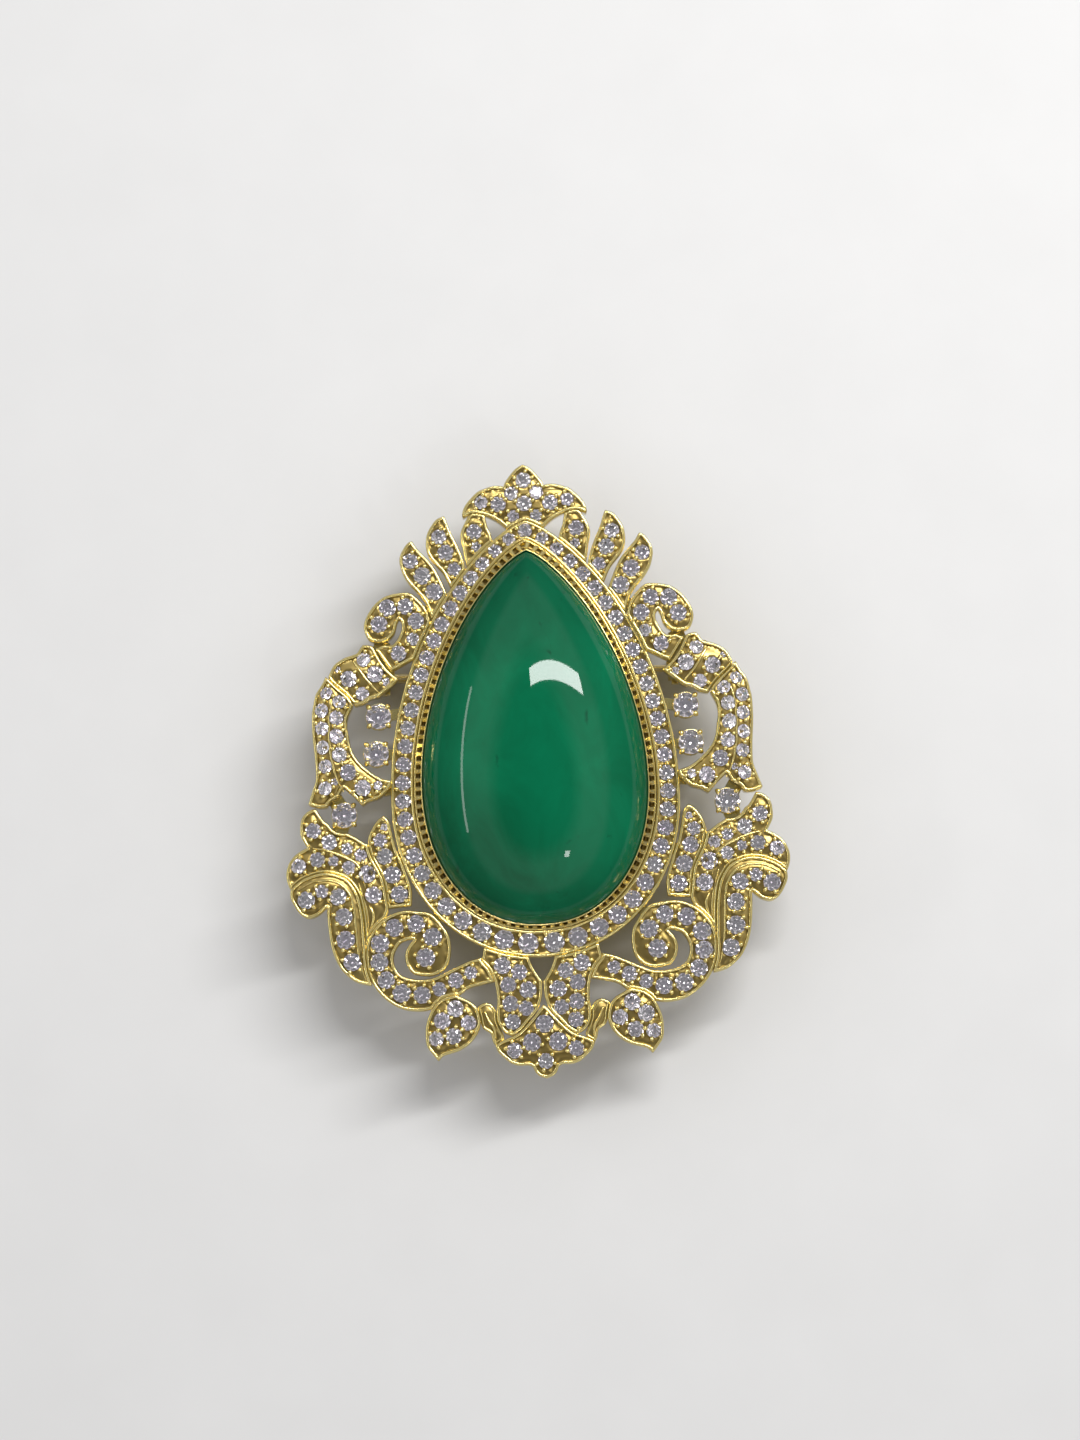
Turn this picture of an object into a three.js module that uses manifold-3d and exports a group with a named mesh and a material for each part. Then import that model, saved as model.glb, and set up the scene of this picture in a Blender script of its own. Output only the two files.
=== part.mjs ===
// A pear-shaped cabochon brooch: a domed stone in a bezel, a pave halo round it, and a wreath of
// scrolls and leaves soldered to a back frame, with a hinged pin and a rolling safety catch behind.
// Millimetres. X to the right, Y to the brooch's top, Z out of its face. The back fittings touch z = 0.
import * as THREE from "three";
import { mergeVertices } from "three/addons/utils/BufferGeometryUtils.js";
import Module from "manifold-3d";

const wasm = await Module();
wasm.setup();

// ---- Driving dimensions ----

// The cabochon: half its width, its two ends, the height of its widest line, and its curve exponents.
const STONE = { halfWidth: 11.1, top: 21.75, bottom: -15.4, widest: -1.35, shoulder: 1.885, belly: 2.15 };
const STONE_HEIGHT = 8.0;
const STONE_GIRDLE = 1.1; // height of the upright edge that the bezel grips
const STONE_FOOT = { inset: 0.25, height: 0.3 }; // the bevel round its flat back
const STONE_DOME = { spread: 2.3, fullness: 0.62 }; // how flat its middle is and how steep its sides are
const STONE_CLEARANCE = 0.1; // between the stone and its bezel

// Widths of the bezel and the halo at the sides, at the top point and at the bottom, and how much
// lower than the stone's the widest line of each lies.
const BEZEL_WIDTH = { side: 0.9, top: 1.3, bottom: 0.55, lower: 0.5 };
const HALO_WIDTH = { side: 2.2, top: 1.85, bottom: 2.55, lower: 1.15 };
const HALO_RAIL = 0.28; // width of the plain rail at each edge of the halo
const HALO_CHANNEL = 0.4; // depth of the stone channel between the rails
const BAND_GAP = 0.1; // between bezel and halo
const SOLDER_GAP = 0.16; // between neighbouring ornaments, filled with solder on the bench

// Heights. The frame's back is the plane that the pin fittings are soldered to.
const PIN_AXIS_Z = 1.7; // the pin's height above the lowest point of its fittings
const PIN_RADIUS = 0.5;
const PIN_TO_GALLERY = 0.4;
const GALLERY_HEIGHT = 3.4;
const FRAME_THICKNESS = 0.8;
const BEZEL_HEIGHT = 2.7;
const HALO_HEIGHT = 2.0;
const SEAT_HEIGHT = 0.6; // of the ledge in the bezel that the stone sits on
const SEAT_WIDTH = 1.0;
const BEZEL_LIP = { width: 0.35, slope: 0.8 }; // the lip's width, and the drop from it to the outer edge

// The gallery: a tapering pierced wall that stands behind the frame.
const GALLERY = { inset: 0.5, wall: 1.0, taper: 1.2, windows: 22 };
const WINDOW = { width: 2.1, height: 1.9 };

// The frame's pear ring, measured in from the bezel's and the halo's edges, and its wires.
const RING_INSET = 1.9;
const RING_MARGIN = 0.35;
const WIRE = 0.8; // half the width of the wires under the scrolls
const SPUR = 0.55; // half the width of the spurs under leaves and collets
const WEB = 0.75; // half the width of the webs that fill the corners between ornaments

// Accent stones: round brilliants in four-claw collets.
const ACCENT = { radius: 1.25, crown: 0.42, girdle: 0.06, pavilion: 1.0, table: 0.7, culet: 0.35 };
const CLAW = { radius: 0.27, tip: 0.8, clearance: 0.05, reach: 0.12 };
const COLLET = { wall: 0.32, foot: 0.25, rim: 0.05 }; // the cup is narrower at its foot, wider at its rim

// Pin, hinge and catch.
const PIN_Y = 10.4;
const FITTING_X = 15.9; // of the catch, and of the hinge at the other side
const FITTING_RADIUS = PIN_AXIS_Z; // cheeks and catch ring are round about the pin's axis
const PAD = { length: 3.6, width: 4.2, height: 0.8, corner: 2.3 };
const CHEEK = 0.7;
const CHEEK_STEM = { share: 0.9, overlap: 0.1 }; // share of the cheek's width, and depth into the pad
const KNUCKLE = { radius: 1.05, width: 1.7 };
const HINGE_PLAY = 0.1; // at each side of the knuckle
const RIVET = { radius: 0.4, fit: 0.04, running: 0.08, head: 0.72, headHeight: 0.3 };
const CATCH = { wall: 0.55, length: 2.2, slot: 1.15, neck: 1.6 };
const ROLLER = { play: 0.1, wall: 0.42, overhang: 0.9, slot: 1.1, collar: 0.25 };
const LEVER = { reach: 2.5, width: 0.7, root: 0.4 };
const PIN_TIP = { radius: 0.12, beyond: 2.2, taper: 9 };

const PEAR_STEPS = 72; // points round a pear
const ROUND_STEPS = 16; // points round a small cylinder
const STONE_STEPS = 12; // facets round an accent stone and its collet
const CLAW_STEPS = 6;
const SPAN_STEPS = 2; // points between two chosen points of an outline
const DOME_LEVELS = 6; // rings of points up the cabochon's dome
const TOP_FACET = 0.6; // share of a level that the small flat facet at the dome's top takes
const SHOULDER_BEND = 0.75; // exponent that rounds a pear's shoulders towards its point
const OVERSHOOT = 0.5; // how far a cutter runs past what it cuts

// ---- Sizes worked out from them ----

const GALLERY_BACK = PIN_AXIS_Z + PIN_RADIUS + PIN_TO_GALLERY;
const FRAME_BACK = GALLERY_BACK + GALLERY_HEIGHT;
const FRAME_FRONT = FRAME_BACK + FRAME_THICKNESS;
const STONE_BASE = FRAME_FRONT + SEAT_HEIGHT;

// A pear grown outwards by so much at its sides, top and bottom.
function grow(pear, side, top = side, bottom = side, lower = 0) {
  return {
    ...pear,
    halfWidth: pear.halfWidth + side,
    top: pear.top + top,
    bottom: pear.bottom - bottom,
    widest: pear.widest - lower,
  };
}

const BEZEL_INNER = grow(STONE, STONE_CLEARANCE);
const BEZEL_OUTER = grow(STONE, BEZEL_WIDTH.side, BEZEL_WIDTH.top, BEZEL_WIDTH.bottom, BEZEL_WIDTH.lower);
const HALO_INNER = grow(BEZEL_OUTER, BAND_GAP);
const HALO_OUTER = {
  ...grow(HALO_INNER, HALO_WIDTH.side, HALO_WIDTH.top, HALO_WIDTH.bottom, HALO_WIDTH.lower),
  shoulder: 2.1,
  belly: 2.05,
};

// The wreath is drawn round a halo of this size and stretches with it.
const DRAWN_HALO = { halfWidth: 14.3, top: 25.0, bottom: -18.6 };
const FIT_X = HALO_OUTER.halfWidth / DRAWN_HALO.halfWidth;
const FIT_Y = (HALO_OUTER.top - HALO_OUTER.bottom) / (DRAWN_HALO.top - DRAWN_HALO.bottom);
const fitted = ([x, y, corner]) => [
  x * FIT_X,
  HALO_OUTER.bottom + (y - DRAWN_HALO.bottom) * FIT_Y,
  corner,
];

// ---- The wreath's outlines, right-hand side. A third value marks a sharp corner. ----

const ACANTHUS_EDGE = [
  [23.6, -10.3], [22.4, -9.8], [21.2, -9.6], [20.1, -9.8], [19.1, -10.3], [18.5, -11],
  [18, -12], [17.75, -13.2], [17.6, -14.5], [17.55, -16],
];

const SIDE_ORNAMENTS = [
  {
    name: "bottom_petal",
    height: 2.2,
    outline: [
      [1.3, -18.4, 1], [1.3, -18.9], [1.0, -19.7], [0.55, -20.5], [0.15, -21.1, 1], [0.15, -21.5],
      [0.2, -22.4], [0.5, -23.5], [1.0, -24.3], [1.7, -25.0], [2.3, -25.7], [3.2, -26.3, 1], [3.9, -26.0],
      [4.4, -25.3], [4.6, -24.4], [4.5, -22.9], [4.55, -22], [4.7, -21], [5.0, -20.2], [5.35, -19.5],
      [5.9, -18.9, 1], [5.6, -17.4, 1],
    ],
  },
  {
    name: "drop_leaf",
    height: 2.4,
    outline: [
      [8.7, -22.2, 1], [9.9, -22.5], [10.7, -23.1], [11.3, -24.1], [11.65, -25.2], [11.7, -26.4],
      [11.5, -27.3], [10.6, -28.5, 1], [10.1, -28.0], [8.7, -27.6], [7.6, -27.0], [6.8, -26.1],
      [6.4, -25.1], [6.45, -24.3], [6.8, -23.4], [7.5, -22.8],
    ],
  },
  {
    name: "lower_scroll",
    height: 2.3,
    outline: [
      [4.7, -20.9, 1], [5.4, -21.0], [6.5, -21.2], [7.5, -21.5], [8.2, -22.0], [9.4, -22.7], [11, -23.3],
      [12, -23.5], [13.3, -23.4], [14.5, -23], [15.6, -22.2], [16.4, -21.3], [17, -20.2], [17.3, -19],
      [17.35, -17.6], [17.1, -16.4], [16.5, -15.4], [15.6, -14.5], [14.5, -13.9], [13.3, -13.65],
      [12, -13.8], [11, -14], [10.3, -14.6], [9.7, -15.4], [9.2, -16.3], [9.05, -17.5], [9.3, -18.8],
      [9.9, -19.6], [10.7, -20.0], [11.5, -20.05], [12.7, -19.8], [13.3, -19], [13.45, -18.2],
      [13.3, -17.5], [12.9, -16.9], [12.5, -16.5, 1], [12.9, -16.35], [14.0, -16.7], [14.7, -17.8],
      [14.75, -18.8], [14.3, -19.8], [13.5, -20.3], [12.3, -20.55], [11, -20.5], [10, -20.15], [9, -19.7],
      [8, -19.25], [7, -18.85], [6, -18.6], [5.2, -18.1], [4.6, -17.2, 1],
    ],
  },
  {
    name: "outer_volute",
    height: 2.5,
    outline: [
      [24.55, -11.1, 1], ...ACANTHUS_EDGE, [17.5, -17], [17.3, -18.5], [17.2, -20], [17.0, -20.8, 1],
      [18.4, -20.4], [19.7, -19.3], [20.5, -17.7], [20.85, -16], [21.0, -14], [20.95, -12.7, 1],
      [21.4, -13.1], [22.0, -13.6], [22.9, -13.9], [23.7, -13.5], [24.3, -12.6], [24.6, -11.8],
    ],
  },
  {
    name: "upright_leaf",
    height: 2.0,
    outline: [
      [15.15, -4.15, 1], [15.6, -4.4], [16.1, -5], [16.6, -5.9], [16.75, -6.8], [16.4, -8.2],
      [15.9, -9.2], [15.4, -10.3], [15.15, -11.6], [15.0, -13.2, 1], [12.8, -13.0, 1], [12.75, -11.5],
      [13.1, -10.2], [13.6, -8.7], [14.1, -7.5], [14.5, -5.8], [14.75, -4.7],
    ],
  },
  {
    name: "acanthus",
    height: 2.2,
    outline: [
      [16.75, -6.95, 1], [17.2, -6.8], [18.2, -6.1], [19.2, -5.6], [20.3, -5.0], [21.1, -4.5],
      [21.6, -3.8], [21.95, -3.2, 1], [22.6, -3.4], [23.2, -4.0], [23.4, -4.8], [23.4, -5.7],
      [23.1, -6.4], [22.75, -7.0, 1], [23.2, -7.2], [24.0, -7.7], [24.6, -8.4], [24.9, -9.2],
      [24.95, -9.8], [24.85, -10.4], [24.6, -11.1, 1], ...ACANTHUS_EDGE, [17.4, -16.9, 1], [16.6, -15.6],
      [15.7, -14.5], [15.1, -13.4], [15.15, -11.6], [15.4, -10.3], [15.9, -9.2], [16.4, -8.2],
    ],
  },
  {
    name: "cuff",
    height: 2.4,
    outline: [
      [13.3, 9.5, 1], [14.2, 10.3], [15.0, 11.4], [15.7, 12.8, 1], [16.6, 13.0], [17.2, 12.2],
      [18.4, 11.8], [19.5, 11.1], [20.1, 10.0, 1], [19.8, 9.5], [18.4, 8.2], [17.6, 7.1, 1],
      [16.4, 7.4], [15.2, 8.0], [14.2, 8.8],
    ],
  },
  {
    name: "side_arm",
    height: 2.8,
    outline: [
      [20.4, 9.9, 1], [20.8, 9.1], [21.4, 8.2], [21.7, 7.0], [21.85, 6], [21.85, 4], [21.7, 2],
      [21.65, 0], [21.9, -1], [22.5, -2.65, 1], [21.6, -2.95], [20.7, -2.9], [20.2, -2.6], [19.7, -2.0],
      [19.1, -1.0, 1], [18.2, -1.8], [17.2, -2.9, 1], [16.6, -2.5], [15.6, -2.2], [15.0, -1.7],
      [14.1, -0.75, 1], [15.2, -0.5], [16.2, 0.1], [17.0, 0.8], [17.4, 1.2], [17.95, 2], [18.3, 3],
      [18.45, 4], [18.6, 5], [18.45, 6], [17.9, 7.1, 1], [18.4, 7.9], [19.6, 9.0],
    ],
  },
  {
    name: "upper_scroll",
    height: 2.3,
    outline: [
      [10.9, 11.9, 1], [10.2, 13.8], [10.0, 15], [10.2, 16.3], [11.2, 17.6], [12.0, 18.1], [13.2, 18.05],
      [14.2, 17.8], [15.1, 17.2], [15.9, 16.2], [16.35, 15.2], [16.3, 14.3], [15.9, 13.65], [15.0, 13.4],
      [14.1, 13.65], [13.5, 14.3], [13.25, 15.2], [12.95, 15.7, 1], [12.65, 15.3], [12.6, 14.6],
      [12.9, 13.8], [13.6, 12.9], [14.6, 12.9, 1], [15.3, 12.6, 1], [14.5, 11.4], [13.9, 10.5, 1],
      [12.9, 11.0], [11.9, 11.5],
    ],
  },
  {
    name: "outer_leaf",
    height: 2.0,
    outline: [
      [11.4, 23.3, 1], [11.8, 23.1], [12.3, 22.4], [12.6, 21.6], [12.5, 20.7], [12.2, 19.9],
      [11.6, 19.0], [10.8, 18.1], [10.1, 17], [9.6, 15.4, 1], [8.9, 15.2, 1], [7.9, 17.2, 1],
      [8.1, 17.8], [8.3, 18.3], [8.8, 19.5], [9.4, 20.7], [10.2, 21.7], [11.0, 22.6],
    ],
  },
  {
    name: "middle_leaf",
    height: 2.1,
    outline: [
      [8.1, 25.7, 1], [8.8, 25.4], [9.3, 24.8], [9.75, 24], [9.9, 23.1], [9.8, 22.2], [9.3, 21.3],
      [8.3, 20.1], [7.6, 18.6, 1], [6.4, 19.0, 1], [6.2, 20.3], [6.5, 21.6], [7.0, 22.9], [7.5, 24.0],
      [7.85, 25.0],
    ],
  },
  {
    name: "inner_leaf",
    height: 2.0,
    outline: [
      [4.15, 26.0, 1], [3.8, 24.4], [3.4, 23.2], [3.9, 22.1, 1], [5.5, 19.9, 1], [5.95, 20.9],
      [6.2, 22.5], [6.4, 23.4], [6.35, 24.1], [6.0, 24.9], [5.3, 26.1, 1],
    ],
  },
  {
    name: "side_curl",
    height: 1.8,
    outline: [
      [4.7, -24.2, 1], [4.9, -23.7], [5.3, -23.2], [5.9, -23.1], [6.5, -23.4, 1], [6.3, -24.5],
      [6.0, -25.5], [5.3, -26.0], [5.1, -26.8], [4.8, -27.4, 1], [4.4, -26.9], [4.1, -26.4], [4.55, -25.4],
    ],
  },
];

// The two ornaments on the axis, each drawn as its right half from the outer tip inwards.
const CENTRE_ORNAMENTS = [
  {
    name: "crest",
    height: 2.2,
    half: [
      [0, 30.6, 1], [0.8, 30.1], [1.7, 29.0], [1.95, 28.45, 1], [2.9, 28.55], [3.9, 28.3], [4.6, 28.0],
      [5.3, 27.35], [5.85, 26.7], [6.15, 26.0], [6.15, 25.7, 1], [5.3, 26.05], [4.4, 25.95], [3.5, 25.65],
      [2.7, 25.2], [2.0, 24.6], [1.4, 23.9, 1],
    ],
  },
  {
    name: "bottom_trefoil",
    height: 2.2,
    half: [
      [0, -30.6, 1], [0.6, -30.4], [1.0, -30.0], [1.2, -29.5, 1], [1.7, -29.25], [2.6, -29.25],
      [3.4, -29.0], [4.0, -28.5], [4.6, -27.9], [4.85, -27.3, 1], [4.2, -26.9], [3.0, -26.45],
      [2.2, -25.9], [1.6, -25.3], [0.95, -24.6], [0.45, -24.0], [0, -23.5, 1],
    ],
  },
];

// Where the accent stones sit.
const ACCENT_PLACES = { upper: [15.35, 5.95], middle: [15.7, 2.2], lower: [19.1, -3.8] };

// The frame's wires and spurs under the wreath, right-hand side, as centre lines.
const FRAME_WIRES = [
  {
    half: WIRE,
    line: [
      [15.1, 11.4], [16, 10.5], [18.8, 9.0], [20.3, 6], [20.2, 2], [20.4, -1.4], [19.1, -3.8],
      [20.3, -7], [19.8, -10.5], [19.6, -14], [18.6, -17.5], [16.3, -20], [13, -22.1], [9.5, -21.3],
      [6.5, -20], [3.4, -20.6], [2.6, -23.8], [1.3, -27.0], [0, -27.4],
    ],
  },
  { half: SPUR, line: [[9.5, 12.9], [11.2, 14.0], [11.3, 15.8], [13, 16.9]] },
  { half: SPUR, line: [[8, 15.8], [9.4, 17.6], [10.8, 20.3]] },
  { half: SPUR, line: [[5.6, 18.6], [7.3, 20.3], [8.5, 23]] },
  { half: SPUR, line: [[3.9, 21], [5.1, 22.6], [5.1, 24.3]] },
  { half: SPUR, line: [[0, 23], [0, 27.5]] },
  { half: SPUR, line: [[11, -8.6], [14.6, -8.2], [19, -7.9]] },
  { half: SPUR, line: [[8.6, -12.4], [11.5, -15.4], [14.6, -15.3]] },
  { half: SPUR, line: [[8.9, -21], [8.9, -25]] },
  { half: SPUR, line: [[2.8, -24.4], [5.3, -25.0]] },
  { half: SPUR, line: [[2.4, -16], [3.4, -20.6]] },
  { half: SPUR, line: [[12.8, 6.4], [15.35, 5.95]] },
  { half: SPUR, line: [[13, 2.2], [15.7, 2.2]] },
  { half: SPUR, line: [[13, -1.1], [17, -1.4], [20.3, 0.2]] },
  { half: WEB, line: [[9.9, 17.3], [9.3, 16.2], [8.9, 15.0]] },
  { half: WEB, line: [[14.6, 13.7], [15.0, 12.8], [15.6, 11.4]] },
];

// ---- Materials ----

const gold = { color: 0xd2b45a, roughness: 0.24, metalness: 1 };
const MATERIALS = {
  gold,
  steel: { color: 0xd8c27a, roughness: 0.3, metalness: 1 },
  emerald: { color: 0x00734a, roughness: 0.08, metalness: 0 },
  crystal: { color: 0xf2eef2, roughness: 0.03, metalness: 0 },
};

// ---- Helpers ----

// A manifold solid from a geometry whose triangles share their vertices.
function sharedSolid(geometry) {
  return new wasm.Manifold(
    new wasm.Mesh({
      numProp: 3,
      vertProperties: geometry.attributes.position.array,
      triVerts: new Uint32Array(geometry.index.array),
    }),
  );
}

// A manifold solid from any closed three.js geometry.
function solidOf(geometry) {
  const bare = geometry.clone();
  bare.deleteAttribute("normal");
  bare.deleteAttribute("uv");
  return sharedSolid(mergeVertices(bare, 1e-4));
}

function geometryOf(solid) {
  const made = solid.getMesh();
  const geometry = new THREE.BufferGeometry();
  geometry.setAttribute("position", new THREE.BufferAttribute(made.vertProperties, 3));
  geometry.setIndex(new THREE.BufferAttribute(made.triVerts, 1));
  geometry.computeVertexNormals();
  return geometry;
}

const brooch = new THREE.Group();

function addPiece(name, geometry, material) {
  const mesh = new THREE.Mesh(geometry, new THREE.MeshStandardMaterial(MATERIALS[material]));
  mesh.name = name;
  brooch.add(mesh);
  return mesh;
}

// The same solid at the other side of the brooch, its triangles turned round to face outwards again.
function mirrored(solid) {
  const geometry = geometryOf(solid).scale(-1, 1, 1);
  const index = geometry.index.array;
  for (let i = 0; i < index.length; i += 3) {
    [index[i + 1], index[i + 2]] = [index[i + 2], index[i + 1]];
  }
  return sharedSolid(geometry);
}

// Points of a smooth closed outline through chosen points, which keeps its marked corners.
function smooth(chosen) {
  const first = Math.max(0, chosen.findIndex((p) => p[2]));
  const turned = [...chosen.slice(first), ...chosen.slice(0, first + 1)];
  const points = [];
  let run = [turned[0]];
  for (const p of turned.slice(1)) {
    run.push(p);
    const closes = p === turned[turned.length - 1];
    if (p[2] || closes) {
      const curve = new THREE.SplineCurve(run.map(([x, y]) => new THREE.Vector2(x, y)));
      const steps = run.length === 2 ? 1 : (run.length - 1) * SPAN_STEPS;
      points.push(...curve.getPoints(steps).slice(0, -1));
      run = [p];
    }
  }
  return points;
}

// The points moved outwards by a small distance along the outline's own normals.
function offset(points, distance) {
  const side = THREE.ShapeUtils.isClockWise(points) ? -1 : 1;
  return points.map((p, i) => {
    const before = points[(i + points.length - 1) % points.length];
    const after = points[(i + 1) % points.length];
    const along = after.clone().sub(before).normalize();
    return new THREE.Vector2(p.x + along.y * distance * side, p.y - along.x * distance * side);
  });
}

// An upright prism on an outline, from one height to another.
function prism(points, from, to) {
  const geometry = new THREE.ExtrudeGeometry(new THREE.Shape(points), {
    depth: to - from,
    bevelEnabled: false,
    steps: 1,
  });
  return solidOf(geometry.translate(0, 0, from));
}

// The outline of a pear: blunt point at the top, round belly below, counter-clockwise.
function pearPoints(pear) {
  const points = [];
  const quarter = PEAR_STEPS / 4;
  for (let i = 0; i < PEAR_STEPS; i++) {
    const turn = ((i % quarter) / quarter) * (Math.PI / 2);
    const part = Math.floor(i / quarter);
    const angle = part % 2 ? Math.PI / 2 - turn : turn;
    const upper = part < 2;
    const t = Math.sin(angle);
    const reach = upper
      ? (1 - t ** pear.shoulder) ** SHOULDER_BEND
      : (1 - t ** pear.belly) ** (1 / pear.belly);
    const x = pear.halfWidth * reach * (part === 0 || part === 3 ? 1 : -1);
    const y = pear.widest + t * (upper ? pear.top - pear.widest : pear.bottom - pear.widest);
    points.push(new THREE.Vector2(x, y));
  }
  return points;
}

// A closed surface through rings of points. Each ring has a height, and the first and last are capped,
// or joined to each other when the rings go round a hollow.
function loft(rings, hollow = false) {
  const n = rings[0].points.length;
  const position = rings.flatMap((r) => r.points.flatMap((p) => [p.x, p.y, r.z]));
  const index = [];
  const last = hollow ? rings.length : rings.length - 1;
  for (let k = 0; k < last; k++) {
    const next = (k + 1) % rings.length;
    for (let i = 0; i < n; i++) {
      const j = (i + 1) % n;
      index.push(k * n + i, k * n + j, next * n + j, k * n + i, next * n + j, next * n + i);
    }
  }
  if (!hollow) {
    for (const [ring, flip] of [[0, true], [rings.length - 1, false]]) {
      const centre = position.length / 3;
      const points = rings[ring].points;
      const middle = points.reduce((sum, p) => sum.add(p), new THREE.Vector2()).divideScalar(n);
      position.push(middle.x, middle.y, rings[ring].z);
      for (let i = 0; i < n; i++) {
        const a = ring * n + i;
        const b = ring * n + ((i + 1) % n);
        index.push(...(flip ? [b, a, centre] : [a, b, centre]));
      }
    }
  }
  const geometry = new THREE.BufferGeometry();
  geometry.setAttribute("position", new THREE.Float32BufferAttribute(position, 3));
  geometry.setIndex(index);
  return geometry;
}

// A band that follows a pear. The section is a list of [pear, z], and it closes on itself.
const band = (section) => loft(section.map(([pear, z]) => ({ points: pearPoints(pear), z })), true);

// A round piece along X or Y, centred on a point.
function bar(radius, length, axis, x, y, z, endRadius = radius) {
  const geometry = new THREE.CylinderGeometry(endRadius, radius, length, ROUND_STEPS);
  if (axis === "x") {
    geometry.rotateZ(-Math.PI / 2);
  }
  return solidOf(geometry.translate(x, y, z));
}

const block = (dx, dy, dz, x, y, z) => solidOf(new THREE.BoxGeometry(dx, dy, dz).translate(x, y, z));

const join = (pieces) => pieces.reduce((whole, piece) => whole.add(piece));

// A flat wire along a centre line, with round ends.
function wire(line, half) {
  const curve = new THREE.SplineCurve(line.map((p) => new THREE.Vector2(...fitted(p))));
  const points = curve.getPoints((line.length - 1) * SPAN_STEPS);
  const left = [];
  const right = [];
  points.forEach((p, i) => {
    const before = points[Math.max(0, i - 1)];
    const after = points[Math.min(points.length - 1, i + 1)];
    const along = after.clone().sub(before).normalize();
    left.push(new THREE.Vector2(p.x - along.y * half, p.y + along.x * half));
    right.unshift(new THREE.Vector2(p.x + along.y * half, p.y - along.x * half));
  });
  return prism([...left, ...right], FRAME_BACK, FRAME_FRONT);
}

// ---- The pieces ----

function makeCabochon() {
  const rings = [
    { points: pearPoints(grow(STONE, -STONE_FOOT.inset)), z: STONE_BASE },
    { points: pearPoints(STONE), z: STONE_BASE + STONE_FOOT.height },
    { points: pearPoints(STONE), z: STONE_BASE + STONE_GIRDLE },
  ];
  const dome = STONE_HEIGHT - STONE_GIRDLE;
  for (let k = 1; k <= DOME_LEVELS; k++) {
    const share = Math.cos(((k / (DOME_LEVELS + TOP_FACET)) * Math.PI) / 2);
    const rise = (1 - share ** STONE_DOME.spread) ** STONE_DOME.fullness;
    const z = STONE_BASE + STONE_GIRDLE + dome * rise;
    const points = pearPoints(STONE).map((p) => {
      return new THREE.Vector2(p.x * share, STONE.widest + (p.y - STONE.widest) * share);
    });
    rings.push({ points, z });
  }
  addPiece("cabochon", loft(rings), "emerald");
}

function makeBezel() {
  const seat = grow(BEZEL_INNER, -SEAT_WIDTH);
  const rim = grow(BEZEL_INNER, BEZEL_LIP.width);
  addPiece(
    "bezel",
    band([
      [seat, FRAME_FRONT],
      [BEZEL_OUTER, FRAME_FRONT],
      [BEZEL_OUTER, FRAME_FRONT + BEZEL_HEIGHT - BEZEL_LIP.slope],
      [rim, FRAME_FRONT + BEZEL_HEIGHT],
      [BEZEL_INNER, FRAME_FRONT + BEZEL_HEIGHT],
      [BEZEL_INNER, STONE_BASE],
      [seat, STONE_BASE],
    ]),
    "gold",
  );
}

function makeHalo() {
  const top = FRAME_FRONT + HALO_HEIGHT;
  const innerRail = grow(HALO_INNER, HALO_RAIL);
  const outerRail = grow(HALO_OUTER, -HALO_RAIL);
  addPiece(
    "halo_ring",
    band([
      [HALO_INNER, FRAME_FRONT],
      [HALO_OUTER, FRAME_FRONT],
      [HALO_OUTER, top],
      [outerRail, top],
      [outerRail, top - HALO_CHANNEL],
      [innerRail, top - HALO_CHANNEL],
      [innerRail, top],
      [HALO_INNER, top],
    ]),
    "gold",
  );
}

function makeGallery() {
  const front = grow(BEZEL_OUTER, -GALLERY.inset);
  const back = grow(front, -GALLERY.taper);
  const wall = band([
    [grow(back, -GALLERY.wall), GALLERY_BACK],
    [back, GALLERY_BACK],
    [front, FRAME_BACK],
    [grow(front, -GALLERY.wall), FRAME_BACK],
  ]);
  const path = new THREE.SplineCurve([...pearPoints(back), pearPoints(back)[0]]);
  let gallery = solidOf(wall);
  for (let i = 0; i < GALLERY.windows; i++) {
    const u = (i + 0.5) / GALLERY.windows;
    const at = path.getPointAt(u);
    const along = path.getTangentAt(u);
    const deep = 2 * (GALLERY.wall + GALLERY.taper);
    const cutter = new THREE.BoxGeometry(WINDOW.width, deep, WINDOW.height);
    cutter.rotateZ(Math.atan2(along.y, along.x));
    cutter.translate(at.x, at.y, GALLERY_BACK + GALLERY_HEIGHT / 2);
    gallery = gallery.subtract(solidOf(cutter));
  }
  addPiece("gallery_basket", geometryOf(gallery), "gold");
}

function makeFrame() {
  const ring = band([
    [grow(BEZEL_OUTER, -RING_INSET), FRAME_BACK],
    [grow(HALO_OUTER, -RING_MARGIN), FRAME_BACK],
    [grow(HALO_OUTER, -RING_MARGIN), FRAME_FRONT],
    [grow(BEZEL_OUTER, -RING_INSET), FRAME_FRONT],
  ]);
  const pieces = FRAME_WIRES.map(({ half, line }) => wire(line, half));
  for (const place of Object.values(ACCENT_PLACES)) {
    const [x, y] = fitted(place);
    pieces.push(upright(ACCENT.radius, FRAME_BACK, FRAME_FRONT, x, y));
  }
  pieces.push(upright(PAD.corner, FRAME_BACK, FRAME_FRONT, FITTING_X, PIN_Y));
  const right = join(pieces);
  const opening = pearPoints(grow(BEZEL_OUTER, -RING_INSET));
  const hole = prism(opening, FRAME_BACK - OVERSHOOT, FRAME_FRONT + OVERSHOOT);
  const frame = solidOf(ring).add(right).add(mirrored(right)).subtract(hole);
  addPiece("back_frame", geometryOf(frame), "gold");
}

// An upright cylinder or cone between two heights.
function upright(radius, from, to, x, y, topRadius = radius, steps = ROUND_STEPS) {
  const geometry = new THREE.CylinderGeometry(topRadius, radius, to - from, steps);
  geometry.rotateX(Math.PI / 2);
  return solidOf(geometry.translate(x, y, (from + to) / 2));
}

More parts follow.
